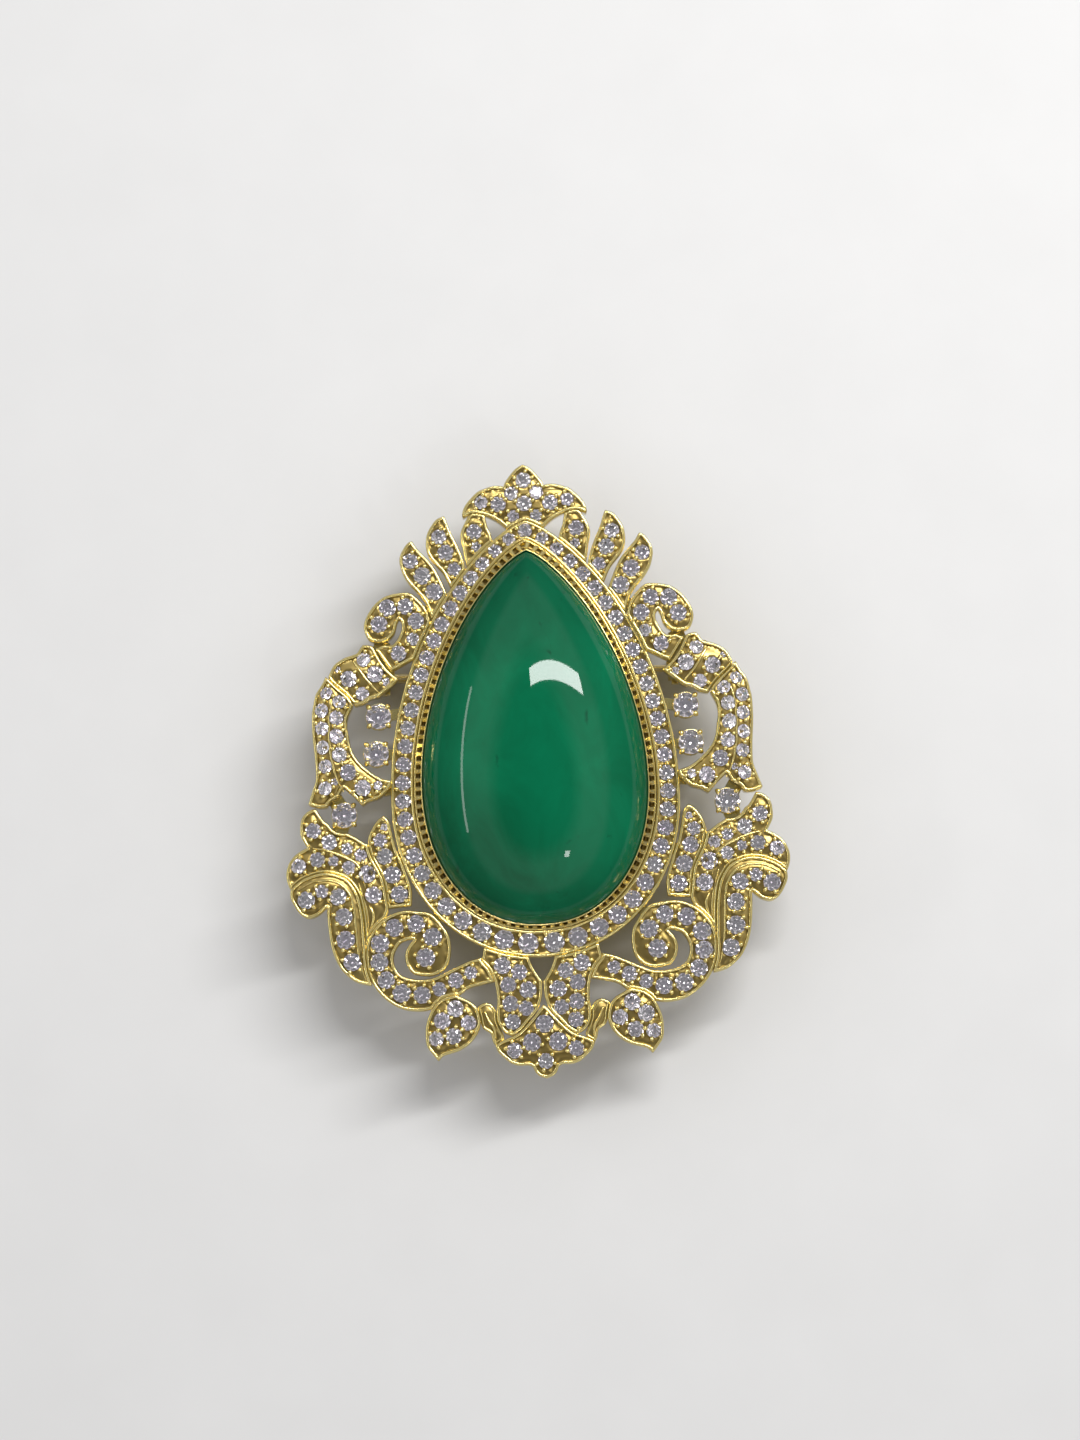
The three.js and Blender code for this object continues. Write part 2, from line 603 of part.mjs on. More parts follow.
// A round brilliant with its point down, grown by a clearance.
function brilliant(x, y, clearance = 0) {
  const culet = FRAME_FRONT + ACCENT.culet;
  const girdle = culet + ACCENT.pavilion;
  const profile = [
    new THREE.Vector2(0, culet - clearance),
    new THREE.Vector2(ACCENT.radius + clearance, girdle - clearance / 2),
    new THREE.Vector2(ACCENT.radius + clearance, girdle + ACCENT.girdle + clearance / 2),
    new THREE.Vector2(ACCENT.table + clearance, girdle + ACCENT.crown + clearance),
    new THREE.Vector2(0, girdle + ACCENT.crown + clearance),
  ];
  const geometry = new THREE.LatheGeometry(profile, STONE_STEPS);
  geometry.rotateX(Math.PI / 2);
  return geometry.translate(x, y, 0);
}

function makeAccents() {
  const girdle = FRAME_FRONT + ACCENT.culet + ACCENT.pavilion;
  const clawTop = girdle + ACCENT.crown;
  for (const [name, place] of Object.entries(ACCENT_PLACES)) {
    const [x, y] = fitted(place);
    const stone = solidOf(brilliant(x, y));
    const foot = ACCENT.radius - COLLET.foot;
    const cup = upright(foot, FRAME_FRONT, girdle, x, y, ACCENT.radius + COLLET.rim, STONE_STEPS);
    const boreRadius = foot - COLLET.wall;
    const bore = upright(boreRadius, FRAME_FRONT - OVERSHOOT, clawTop, x, y, boreRadius, STONE_STEPS);
    const claws = [1, 3, 5, 7].map((k) => {
      const angle = (k * Math.PI) / 4;
      const out = ACCENT.radius + CLAW.radius - CLAW.reach;
      const at = [x + out * Math.cos(angle), y + out * Math.sin(angle)];
      return upright(CLAW.radius, FRAME_FRONT, clawTop, ...at, CLAW.radius * CLAW.tip, CLAW_STEPS);
    });
    const seat = solidOf(brilliant(x, y, CLAW.clearance));
    const collet = join([cup.subtract(bore), ...claws]).subtract(seat);
    for (const [side, turn] of [["right", (s) => s], ["left", mirrored]]) {
      addPiece(`accent_stone_${name}_${side}`, geometryOf(turn(stone)), "crystal");
      addPiece(`collet_${name}_${side}`, geometryOf(turn(collet)), "gold");
    }
  }
}

// The cutter that keeps a neighbour clear of an outline.
function clearOf(points) {
  return prism(offset(points, SOLDER_GAP), FRAME_FRONT - OVERSHOOT, FRAME_FRONT + 2 * HALO_HEIGHT);
}

function makeWreath() {
  const colletCutters = Object.values(ACCENT_PLACES).map((place) => {
    const [x, y] = fitted(place);
    const reach = ACCENT.radius + 2 * CLAW.radius + SOLDER_GAP;
    return upright(reach, FRAME_FRONT - OVERSHOOT, FRAME_FRONT + 2 * HALO_HEIGHT, x, y);
  });
  const cutters = [clearOf(pearPoints(HALO_OUTER)), ...colletCutters];
  for (const { name, height, half } of CENTRE_ORNAMENTS) {
    const other = half.slice(1).reverse().map(([x, y, corner]) => [-x, y, corner]);
    const right = half.map((p) => fitted(p));
    const left = other.map((p) => fitted(p)).filter((p) => p[0] < 0);
    const points = smooth([...right, ...left]);
    const whole = cutters.reduce((s, c) => s.subtract(c), prism(points, FRAME_FRONT, FRAME_FRONT + height));
    addPiece(name, geometryOf(whole), "gold");
    cutters.push(clearOf(points));
  }
  for (const { name, height, outline } of SIDE_ORNAMENTS) {
    const points = smooth(outline.map((p) => fitted(p)));
    const solid = prism(points, FRAME_FRONT, FRAME_FRONT + height);
    const right = cutters.reduce((s, c) => s.subtract(c), solid);
    addPiece(`${name}_right`, geometryOf(right), "gold");
    addPiece(`${name}_left`, geometryOf(mirrored(right)), "gold");
    cutters.push(clearOf(points));
  }
}

function makeHinge() {
  const gap = KNUCKLE.width + 2 * HINGE_PLAY;
  const padZ = FRAME_BACK - PAD.height / 2;
  const pad = block(PAD.length, PAD.width, PAD.height, -FITTING_X, PIN_Y, padZ);
  const cheekY = (gap + CHEEK) / 2;
  const cheeks = [-1, 1].flatMap((side) => {
    const y = PIN_Y + side * cheekY;
    const stem = FRAME_BACK - PAD.height - PIN_AXIS_Z + CHEEK_STEM.overlap;
    const width = 2 * FITTING_RADIUS * CHEEK_STEM.share;
    return [
      bar(FITTING_RADIUS, CHEEK, "y", -FITTING_X, y, PIN_AXIS_Z),
      block(width, CHEEK, stem, -FITTING_X, y, PIN_AXIS_Z + stem / 2),
    ];
  });
  const hole = bar(RIVET.radius + RIVET.fit, PAD.width, "y", -FITTING_X, PIN_Y, PIN_AXIS_Z);
  addPiece("hinge_bracket", geometryOf(join([pad, ...cheeks]).subtract(hole)), "gold");

  const across = gap + 2 * CHEEK;
  const heads = [-1, 1].map((side) => {
    const y = PIN_Y + (side * (across + RIVET.headHeight)) / 2;
    return bar(RIVET.head, RIVET.headHeight, "y", -FITTING_X, y, PIN_AXIS_Z);
  });
  const shank = bar(RIVET.radius, across + RIVET.headHeight, "y", -FITTING_X, PIN_Y, PIN_AXIS_Z);
  addPiece("hinge_rivet", geometryOf(join([shank, ...heads])), "gold");
}

function makePin() {
  const tipX = FITTING_X + CATCH.length / 2 + PIN_TIP.beyond;
  const taperX = tipX - PIN_TIP.taper;
  const stemLength = taperX + FITTING_X;
  const stem = bar(PIN_RADIUS, stemLength, "x", taperX - stemLength / 2, PIN_Y, PIN_AXIS_Z);
  const taperAt = taperX + PIN_TIP.taper / 2;
  const taper = bar(PIN_RADIUS, PIN_TIP.taper, "x", taperAt, PIN_Y, PIN_AXIS_Z, PIN_TIP.radius);
  const knuckle = bar(KNUCKLE.radius, KNUCKLE.width, "y", -FITTING_X, PIN_Y, PIN_AXIS_Z);
  const bore = bar(RIVET.radius + RIVET.running, PAD.width, "y", -FITTING_X, PIN_Y, PIN_AXIS_Z);
  addPiece("pin_stem", geometryOf(join([stem, taper, knuckle]).subtract(bore)), "steel");
}

function makeCatch() {
  const inner = FITTING_RADIUS - CATCH.wall;
  const padZ = FRAME_BACK - PAD.height / 2;
  const neckTop = FRAME_BACK - PAD.height / 2;
  const neckBottom = PIN_AXIS_Z + inner + CATCH.wall / 2;
  const neckZ = (neckTop + neckBottom) / 2;
  const housing = join([
    block(PAD.length, PAD.width, PAD.height, FITTING_X, PIN_Y, padZ),
    block(CATCH.length, CATCH.neck, neckTop - neckBottom, FITTING_X, PIN_Y, neckZ),
    bar(FITTING_RADIUS, CATCH.length, "x", FITTING_X, PIN_Y, PIN_AXIS_Z),
  ]);
  const bore = bar(inner, CATCH.length + 2 * OVERSHOOT, "x", FITTING_X, PIN_Y, PIN_AXIS_Z);
  const slotDepth = FITTING_RADIUS + OVERSHOOT;
  const slotZ = PIN_AXIS_Z - slotDepth / 2;
  const slot = block(CATCH.length + 2 * OVERSHOOT, CATCH.slot, slotDepth, FITTING_X, PIN_Y, slotZ);
  addPiece("catch_housing", geometryOf(housing.subtract(bore).subtract(slot)), "gold");

  const outer = inner - ROLLER.play;
  const length = CATCH.length + 2 * ROLLER.overhang;
  const sleeve = bar(outer, length, "x", FITTING_X, PIN_Y, PIN_AXIS_Z);
  const lip = outer + ROLLER.collar;
  const collars = [-1, 1].map((side) => {
    const away = CATCH.length / 2 + ROLLER.play + (ROLLER.overhang - ROLLER.play) / 2;
    return bar(lip, ROLLER.overhang - ROLLER.play, "x", FITTING_X + side * away, PIN_Y, PIN_AXIS_Z);
  });
  const leverX = FITTING_X + CATCH.length / 2 + (ROLLER.overhang + ROLLER.play) / 2;
  const leverY = PIN_Y + (outer + LEVER.reach) / 2;
  const leverLength = LEVER.reach - outer + LEVER.root;
  const leverThick = ROLLER.overhang - ROLLER.play;
  const lever = block(leverThick, leverLength, LEVER.width, leverX, leverY, PIN_AXIS_Z);
  const through = bar(outer - ROLLER.wall, length + 2 * OVERSHOOT, "x", FITTING_X, PIN_Y, PIN_AXIS_Z);
  const mouthZ = PIN_AXIS_Z - slotDepth / 2;
  const mouth = block(length + 2 * OVERSHOOT, ROLLER.slot, slotDepth, FITTING_X, PIN_Y, mouthZ);
  const roller = join([sleeve, ...collars, lever]).subtract(through).subtract(mouth);
  addPiece("catch_roller", geometryOf(roller), "gold");
}

makeFrame();
makeGallery();
makeBezel();
makeCabochon();
makeHalo();
makeWreath();
makeAccents();
makeHinge();
makePin();
makeCatch();

export default brooch;
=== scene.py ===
"""A jewelled brooch: the fine metalwork, stones and finishes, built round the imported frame."""

import math
import random

import bpy
import numpy as np
from bpy.props import FloatProperty, FloatVectorProperty, PointerProperty
from mathutils import Matrix, Vector, geometry


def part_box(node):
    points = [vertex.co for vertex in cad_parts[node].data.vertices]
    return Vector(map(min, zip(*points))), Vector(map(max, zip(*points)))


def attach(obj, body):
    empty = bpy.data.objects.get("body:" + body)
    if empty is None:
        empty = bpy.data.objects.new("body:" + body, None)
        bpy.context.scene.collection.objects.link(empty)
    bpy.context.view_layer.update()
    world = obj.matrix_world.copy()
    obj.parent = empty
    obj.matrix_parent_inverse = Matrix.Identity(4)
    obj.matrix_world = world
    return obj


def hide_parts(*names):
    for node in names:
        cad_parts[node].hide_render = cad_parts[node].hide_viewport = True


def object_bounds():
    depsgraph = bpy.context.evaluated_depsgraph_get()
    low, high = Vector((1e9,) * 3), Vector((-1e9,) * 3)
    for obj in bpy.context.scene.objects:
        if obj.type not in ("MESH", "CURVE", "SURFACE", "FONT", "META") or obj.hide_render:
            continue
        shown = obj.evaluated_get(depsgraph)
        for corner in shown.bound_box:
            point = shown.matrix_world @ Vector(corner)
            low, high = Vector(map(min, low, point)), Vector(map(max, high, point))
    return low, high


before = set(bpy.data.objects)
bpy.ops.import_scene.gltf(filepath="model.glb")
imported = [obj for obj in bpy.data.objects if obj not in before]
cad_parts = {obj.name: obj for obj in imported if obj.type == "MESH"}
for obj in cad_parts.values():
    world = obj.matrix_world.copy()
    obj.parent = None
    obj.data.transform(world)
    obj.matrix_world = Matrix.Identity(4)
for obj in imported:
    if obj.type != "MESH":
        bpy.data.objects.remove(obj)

CAD_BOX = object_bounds()

bl_info = {
    "name": "Jewelled Brooch",
    "version": (1, 0, 0),
    "blender": (4, 5, 0),
    "location": "View3D > Sidebar > Brooch",
    "description": "Builds a cabochon brooch with pave scrollwork, its pin and a studio stage",
    "category": "Add Mesh",
}

MM = 0.001
SIDES = (("right", 1), ("left", -1))
SEED = 7
CENTRE_SEED = 50  # added for the ornaments on the axis
SOLDER = 0.08 * MM  # half the gap that the solder fills
TILT = 0.05  # how far a pave stone may lean, as a share of its height
SEAT_STEPS = 14  # points round the seat of a stone
BEAD_SPOTS = 12  # places tried for beads round a stone
HALO_DOME = 0.1 * MM
HALO_REACH = 0.9 * MM

# Pave stones of the right-hand ornaments: x, y and radius, in millimetres.
SIDE_STONES = {
    "inner_leaf": [(5.1, 24.1, 0.72), (4.95, 22.6, 0.75), (5.0, 21.2, 0.5)],
    "middle_leaf": [(8.65, 23.7, 0.7), (8.05, 22.1, 0.75), (7.25, 20.4, 0.8)],
    "outer_leaf": [(11.6, 21.4, 0.7), (10.45, 19.85, 0.8), (9.35, 18.2, 0.8)],
    "upper_scroll": [
        (13.1, 12.1, 0.72), (11.6, 13.5, 0.75), (11.25, 15.3, 0.75), (12.25, 16.8, 0.75),
        (14.05, 16.7, 0.78), (14.95, 15.1, 0.78),
    ],
    "cuff": [
        (15.5, 10.1, 0.78), (16.6, 11.6, 0.65), (16.85, 8.2, 0.72), (18.15, 9.7, 0.75), (19.25, 10.75, 0.55),
        (14.45, 9.3, 0.4),
    ],
    "side_arm": [
        (20.4, 8.3, 0.6), (20.95, 6.6, 0.65), (20.95, 4.8, 0.65), (20.95, 2.9, 0.65), (20.75, 1.0, 0.65),
        (20.85, -1.2, 0.66), (19.15, 7.4, 0.65), (19.5, 5.8, 0.68), (19.55, 3.95, 0.7), (19.3, 2.1, 0.7),
        (18.5, 0.3, 0.75), (17.1, -1.3, 0.75), (15.6, -1.1, 0.45), (19.9, -0.6, 0.35),
    ],
    "upright_leaf": [
        (15.6, -6.5, 0.65), (15.2, -8.1, 0.75), (14.5, -9.95, 0.8), (13.9, -11.9, 0.78), (15.2, -5.2, 0.35),
    ],
    "acanthus": [
        (22.2, -5.3, 0.72), (20.65, -6.5, 0.72), (18.9, -7.2, 0.55), (17.6, -7.9, 0.58), (23.8, -8.75, 0.78),
        (21.9, -8.2, 0.7), (20.3, -8.4, 0.5), (18.8, -9.1, 0.62), (17.0, -9.8, 0.8), (16.45, -11.9, 0.78),
    ],
    "outer_volute": [
        (23.1, -12.2, 0.8), (21.55, -11.4, 0.62), (19.95, -12.0, 0.78), (19.45, -14.0, 0.8),
        (19.35, -16.3, 0.85), (18.75, -18.5, 0.82),
    ],
    "lower_scroll": [
        (11.5, -18.3, 0.88), (10.75, -16.3, 0.85), (12.35, -14.95, 0.82), (14.5, -15.25, 0.82),
        (15.95, -16.75, 0.85), (16.1, -18.6, 0.82), (15.5, -20.4, 0.8), (14.0, -21.75, 0.85),
        (12.0, -22.0, 0.8), (10.25, -21.5, 0.65), (8.6, -20.7, 0.72), (7.1, -20.0, 0.62),
    ],
    "bottom_petal": [
        (3.95, -19.4, 0.78), (2.3, -20.1, 0.75), (3.45, -21.3, 0.75), (1.5, -21.9, 0.78), (3.3, -23.2, 0.75),
        (1.75, -23.7, 0.7), (3.15, -25.0, 0.72),
    ],
    "side_curl": [],
    "drop_leaf": [
        (8.75, -23.5, 0.78), (10.1, -24.65, 0.78), (7.5, -24.95, 0.72), (9.0, -26.2, 0.75),
        (10.75, -26.4, 0.68),
    ],
}

# The same for the ornaments on the axis, right half: a stone off the axis has a twin.
CENTRE_STONES = {
    "crest": [
        (0, 29.1, 0.72), (1.25, 27.8, 0.65), (0, 26.75, 0.72), (2.6, 26.75, 0.72), (4.3, 27.0, 0.62),
        (1.15, 25.5, 0.65),
    ],
    "bottom_trefoil": [(0, -25.3, 0.82), (1.3, -27.1, 0.85), (3.05, -27.85, 0.72), (0, -29.0, 0.72)],
}

# Polished ridges that cross the ornaments, right-hand side, as centre lines in millimetres.
SIDE_RIDGES = {
    "cuff": [[(15.15, 8.2), (16.4, 9.6), (17.75, 11.7)]],
    "outer_volute": [
        [(23.9, -11.2), (22.5, -10.45), (21.1, -10.3), (20.0, -10.55), (19.2, -11.2), (18.65, -12.2),
         (18.4, -13.6), (18.3, -15.2), (18.2, -17.0), (17.9, -19.0), (17.5, -20.2)],
    ],
    "acanthus": [
        [(22.4, -7.0), (21.0, -7.3), (19.6, -7.85), (18.2, -8.6), (17.6, -9.6), (17.2, -11.2)],
        [(17.9, -10.6), (17.4, -12.4), (17.1, -14.2), (17.2, -15.8)],
        [(16.9, -12.9), (16.5, -14.0), (16.9, -15.4)],
    ],
    "side_arm": [[(19.0, -1.6), (19.6, -0.4), (20.1, 1.6), (20.25, 3.8), (20.2, 5.8), (19.8, 7.6)]],
    "side_curl": [[(5.9, -23.8), (5.5, -24.8), (5.0, -25.6), (4.85, -26.6)]],
}


# ---- Settings that a user would change ----


class BroochMetal(bpy.types.PropertyGroup):
    """Sizes and colour of the goldwork."""

    rail_radius: FloatProperty(
        name="Rail Radius", description="Half the thickness of the polished rails",
        default=0.17 * MM, unit="LENGTH",
    )
    channel_depth: FloatProperty(
        name="Channel Depth", description="Depth of the pave bed below the rails",
        default=0.5 * MM, unit="LENGTH",
    )
    bead_radius: FloatProperty(
        name="Bead Radius", description="Radius of the beads that hold the pave stones",
        default=0.27 * MM, unit="LENGTH",
    )
    tooth_pitch: FloatProperty(
        name="Tooth Pitch", description="Distance between the teeth of the bezel",
        default=0.87 * MM, unit="LENGTH",
    )
    gold: FloatVectorProperty(
        name="Gold", description="Colour of the polished plate", subtype="COLOR",
        default=(0.86, 0.72, 0.30), size=3,
    )
    # Painted shade: the darker, warmer gold that channels and seats are painted with where shade falls;
    # random stains mix towards it too.
    recess: FloatVectorProperty(
        name="Recess Shade", description="Colour of the plate in the channels", subtype="COLOR",
        default=(0.29, 0.205, 0.06), size=3,
    )


class BroochStones(bpy.types.PropertyGroup):
    """Colours and setting height of the stones."""

    emerald: FloatVectorProperty(
        name="Emerald", description="Body colour of the cabochon", subtype="COLOR",
        default=(0.0, 0.066, 0.025), size=3,
    )
    veil: FloatVectorProperty(
        name="Veil", description="Colour of the milky veils in the cabochon", subtype="COLOR",
        default=(0.0005, 0.185, 0.080), size=3,
    )
    size: FloatProperty(
        name="Pave Size", description="Size of the pave stones, as a share of their listed size",
        default=1.09,
    )
    lift: FloatProperty(
        name="Stone Lift", description="Height of a stone's girdle over the bed, as a share of its radius",
        default=0.16,
    )


class BroochStage(bpy.types.PropertyGroup):
    """Camera and lights."""

    distance: FloatProperty(
        name="Camera Distance", description="From the camera to the brooch's face",
        default=0.46, unit="LENGTH",
    )
    elevation: FloatProperty(
        name="Camera Elevation", description="Angle of the camera above the horizon",
        default=math.radians(84), subtype="ANGLE",
    )
    roll: FloatProperty(
        name="Camera Turn", description="Angle of the camera round the vertical",
        default=math.radians(-2.25), subtype="ANGLE",
    )
    key_power: FloatProperty(name="Key Light", description="Power of the window light in watts", default=2.2)
    fill: FloatProperty(name="Fill Light", description="Strength of the soft light all round", default=0.95)


def metal():
    """The settings of the goldwork."""
    return bpy.context.scene.brooch_metal


def gems():
    """The settings of the stones."""
    return bpy.context.scene.brooch_stones


# ---- Plane geometry ----


def loops_at(node, top=False):
    """The closed outlines, in metres, of a node's lowest or highest flat face, longest first."""
    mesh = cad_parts[node].data
    level = max(v.co.z for v in mesh.vertices) if top else min(v.co.z for v in mesh.vertices)
    key = {v.index: (round(v.co.x * 1e6), round(v.co.y * 1e6)) for v in mesh.vertices}
    edges = set()
    for face in mesh.polygons:
        if all(abs(mesh.vertices[i].co.z - level) < 1e-7 for i in face.vertices):
            ring = [key[i] for i in face.vertices]
            edges.update(zip(ring, ring[1:] + ring[:1]))
    follow = {a: b for a, b in edges if (b, a) not in edges}
    loops = []
    while follow:
        start = next(iter(sorted(follow)))
        loop = [start]
        at = follow.pop(start)
        while at != start:
            loop.append(at)
            at = follow.pop(at)
        loops.append(np.array(loop) * 1e-6)
    loops.sort(key=lambda p: -perimeter(p))
    return [p if signed_area(p) > 0 else p[::-1] for p in loops]


def perimeter(points):
    """Length of a closed outline."""
    return float(np.linalg.norm(np.roll(points, -1, axis=0) - points, axis=1).sum())


def signed_area(points):
    """Area of a closed outline, above zero where it runs counter-clockwise."""
    after = np.roll(points, -1, axis=0)
    return float((points[:, 0] * after[:, 1] - after[:, 0] * points[:, 1]).sum()) / 2


def between_points(p0, p1, p2, p3, t):
    """The point at a share t of the way from p1 to p2, on the smooth curve through all four."""
    return 0.5 * (2 * p1 + (p2 - p0) * t + (2 * p0 - 5 * p1 + 4 * p2 - p3) * t**2
                  + (3 * p1 - p0 - 3 * p2 + p3) * t**3)


def spline(points, step, closed=False):
    """Points every step along a smooth curve through the given ones."""
    pts = np.asarray(points, dtype=float)
    n = len(pts)
    made = []
    spans = n if closed else n - 1
    for i in range(spans):
        p1 = pts[i]
        p2 = pts[(i + 1) % n]
        p0 = pts[(i - 1) % n] if closed or i else 2 * p1 - p2
        p3 = pts[(i + 2) % n] if closed or i + 2 < n else 2 * p2 - p1
        count = max(1, round(float(np.linalg.norm(p2 - p1)) / step))
        made.extend(between_points(p0, p1, p2, p3, k / count) for k in range(count))
    if not closed:
        made.append(pts[-1])
    return np.array(made)


def smooth_loop(points, step=0.16 * MM, corner=math.radians(36), closest=0.06 * MM):
    """A closed outline resampled finely: smooth stretches stay smooth and sharp corners stay sharp."""
    kept = [points[0]]
    for p in points[1:]:
        if np.linalg.norm(p - kept[-1]) > closest:
            kept.append(p)
    if np.linalg.norm(kept[0] - kept[-1]) < closest:
        kept.pop()
    pts = np.array(kept)
    before = pts - np.roll(pts, 1, axis=0)
    after = np.roll(pts, -1, axis=0) - pts
    turn = np.arctan2(
        before[:, 0] * after[:, 1] - before[:, 1] * after[:, 0], (before * after).sum(axis=1)
    )
    corners = [i for i in range(len(pts)) if abs(turn[i]) > corner]
    if not corners:
        return spline(pts, step, closed=True)
    made = []
    for a, b in zip(corners, corners[1:] + [corners[0] + len(pts)]):
        run = [pts[i % len(pts)] for i in range(a, b + 1)]
        made.extend(spline(run, step)[:-1])
    return np.array(made)


def outward(points):
    """Unit vectors that point out of a counter-clockwise outline at each of its points."""
    along = np.roll(points, -1, axis=0) - np.roll(points, 1, axis=0)
    along /= np.linalg.norm(along, axis=1)[:, None] + 1e-12
    return np.stack([along[:, 1], -along[:, 0]], axis=1)


def in_batches(points, work, batch=600):
    """Runs work on a few hundred points at a time, which keeps its tables small."""
    return np.concatenate([work(points[k:k + batch]) for k in range(0, len(points), batch)])


def soldered(points):
    """The outline grown by half the gap between neighbours, which closes it as solder does."""
    return points + outward(points) * SOLDER


def edge_distance(points, loops):
    """Distance of each point to the nearest of the outlines' edges."""
    starts = np.vstack(loops)
    spans = np.vstack([np.roll(loop, -1, axis=0) - loop for loop in loops])
    lengths = (spans**2).sum(axis=1) + 1e-18

    def work(some):
        away = some[:, None, :] - starts[None, :, :]
        t = np.clip((away * spans).sum(axis=2) / lengths, 0, 1)
        away -= t[:, :, None] * spans
        return np.sqrt((away**2).sum(axis=2).min(axis=1))

    return in_batches(points, work)


def inside(points, loop):
    """Whether each point is inside a closed outline."""
    x0, y0 = loop.T
    x1, y1 = np.roll(loop, -1, axis=0).T
    slope = (x1 - x0) / (y1 - y0 + 1e-18)

    def work(some):
        x, y = some[:, :1], some[:, 1:]
        crosses = (y0 > y) != (y1 > y)
        return (crosses & (x < x0 + (y - y0) * slope)).sum(axis=1) % 2 == 1

    return in_batches(points, work)


def within(points, loops):
    """Inside the first outline and outside the others, which are holes in it."""
    result = inside(points, loops[0])
    for hole in loops[1:]:
        result &= ~inside(points, hole)
    return result


# ---- Mesh building ----


class Shape:
    """Vertices and faces gathered for one object, with a value for each vertex that paints shade into
    channels.
    """

    def __init__(self):
        self.verts = []
        self.faces = []
        self.slots = []
        self.smooth = []
        self.recess = []

    def add(self, verts, faces, slot=0, smooth=True, recess=0.0):
        start = len(self.verts)
        self.verts.extend(tuple(v) for v in verts)
        self.faces.extend(tuple(i + start for i in f) for f in faces)
        self.slots.extend([slot] * len(faces) if isinstance(slot, int) else slot)
        self.smooth.extend([smooth] * len(faces))
        values = recess if hasattr(recess, "__len__") else [recess] * len(verts)
        self.recess.extend(values)

    def join(self, faces, smooth):
        """Adds faces between vertices that the shape already holds."""
        self.faces.extend(faces)
        self.slots.extend([0] * len(faces))
        self.smooth.extend([smooth] * len(faces))

    def at_side(self, sign):
        """The shape for the right-hand side, or its mirror image for the left."""
        return self if sign > 0 else self.mirrored()

    def mirrored(self):
        """The shape's mirror image across the brooch's axis."""
        other = Shape()
        other.verts = [(-x, y, z) for x, y, z in self.verts]
        other.faces = [tuple(reversed(f)) for f in self.faces]
        other.slots = list(self.slots)
        other.smooth = list(self.smooth)
        other.recess = list(self.recess)
        return other

    def make(self, name, kinds, stands_for=()):
        """The object itself, in the finishes named, on the mounting."""
        mesh = bpy.data.meshes.new(name)
        mesh.from_pydata(self.verts, [], self.faces)
        for kind in kinds:
            mesh.materials.append(finish_of(kind))
        mesh.polygons.foreach_set("material_index", self.slots)
        mesh.polygons.foreach_set("use_smooth", self.smooth)
        # Each vertex's share of painted shade, for the channels and seats.
        layer = mesh.attributes.new("recess", "FLOAT", "POINT")
        layer.data.foreach_set("value", self.recess)
        mesh.update()
        obj = bpy.data.objects.new(name, mesh)
        bpy.context.scene.collection.objects.link(obj)
        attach(obj, "mounting")
        if stands_for:
            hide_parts(*stands_for)

    def make_gold(self, name, *nodes):
        self.make(name, ["gold"], nodes)

    def make_crystal(self, name, *nodes):
        self.make(name, ["crown", "foil"], nodes)


def tube(shape, path, width, height, closed=False, taper=False, sides=8):
    """A rounded rail along a path of 3-D points, its section level across the path."""
    pts = np.asarray(path, dtype=float)
    n = len(pts)
    if closed:
        along = np.roll(pts, -1, axis=0) - np.roll(pts, 1, axis=0)
    else:
        along = np.gradient(pts, axis=0)
    along /= np.linalg.norm(along, axis=1)[:, None] + 1e-12
    across = np.stack([along[:, 1], -along[:, 0], np.zeros(n)], axis=1)
    across /= np.linalg.norm(across, axis=1)[:, None] + 1e-12
    up = np.cross(across, along)
    verts = []
    for i in range(n):
        ease = 1.0
        if taper:
            ease = max(0.25, math.sin(math.pi * min(1, max(0, (i + 0.5) / n))) ** 0.4)
        for k in range(sides):
            angle = 2 * math.pi * k / sides
            verts.append(
                pts[i] + across[i] * width * ease * math.cos(angle) + up[i] * height * ease * math.sin(angle)
            )
    faces = []
    for i in range(n if closed else n - 1):
        j = (i + 1) % n
        for k in range(sides):
            m = (k + 1) % sides
            faces.append((i * sides + k, j * sides + k, j * sides + m, i * sides + m))
    if not closed:
        faces.append(tuple(range(sides)))
        faces.append(tuple(reversed(range((n - 1) * sides, n * sides))))
    shape.add(verts, faces)


def brilliant_template():
    """A round brilliant of girdle radius 1: its vertices, and its faces with 0 for crown, 1 for pavilion."""
    table, star, lower = 0.56, 0.79, 0.34
    crown, rim, pavilion = 0.34, 0.03, 0.84
    half = math.radians(22.5)

    def ring(radius, z, count, turn=0.0):
        return [
            (radius * math.cos(turn + 2 * math.pi * k / count),
             radius * math.sin(turn + 2 * math.pi * k / count), z)
            for k in range(count)
        ]

    star_z = rim + crown * (1 - (star * math.cos(half) - table) / (1 - table))
    lower_z = -rim - pavilion * (1 - lower * math.cos(half))
    verts = ring(table, rim + crown, 8) + ring(star, star_z, 8, half) + ring(1, rim, 16)
    verts += ring(1, -rim, 16) + ring(lower, lower_z, 8, half) + [(0, 0, -rim - pavilion)]
    T, S, G, H, L, C = 0, 8, 16, 32, 48, 56
    faces = [(tuple(range(8)), 0)]
    for k in range(8):
        j = (k + 1) % 8
        i = (k + 7) % 8
        g0, g1, g2 = 2 * k, 2 * k + 1, (2 * k + 2) % 16
        faces.append(((T + k, S + k, T + j), 0))
        faces.append(((T + k, S + i, G + g0, S + k), 0))
        faces.append(((S + k, G + g0, G + g1), 0))
        faces.append(((S + k, G + g1, G + g2), 0))
        faces.append(((C, L + k, H + g0, L + i), 1))
        faces.append(((L + k, H + g1, H + g0), 1))
        faces.append(((L + k, H + g2, H + g1), 1))
    for k in range(16):
        j = (k + 1) % 16
        faces.append(((G + k, H + k, H + j, G + j), 0))
    return verts, faces


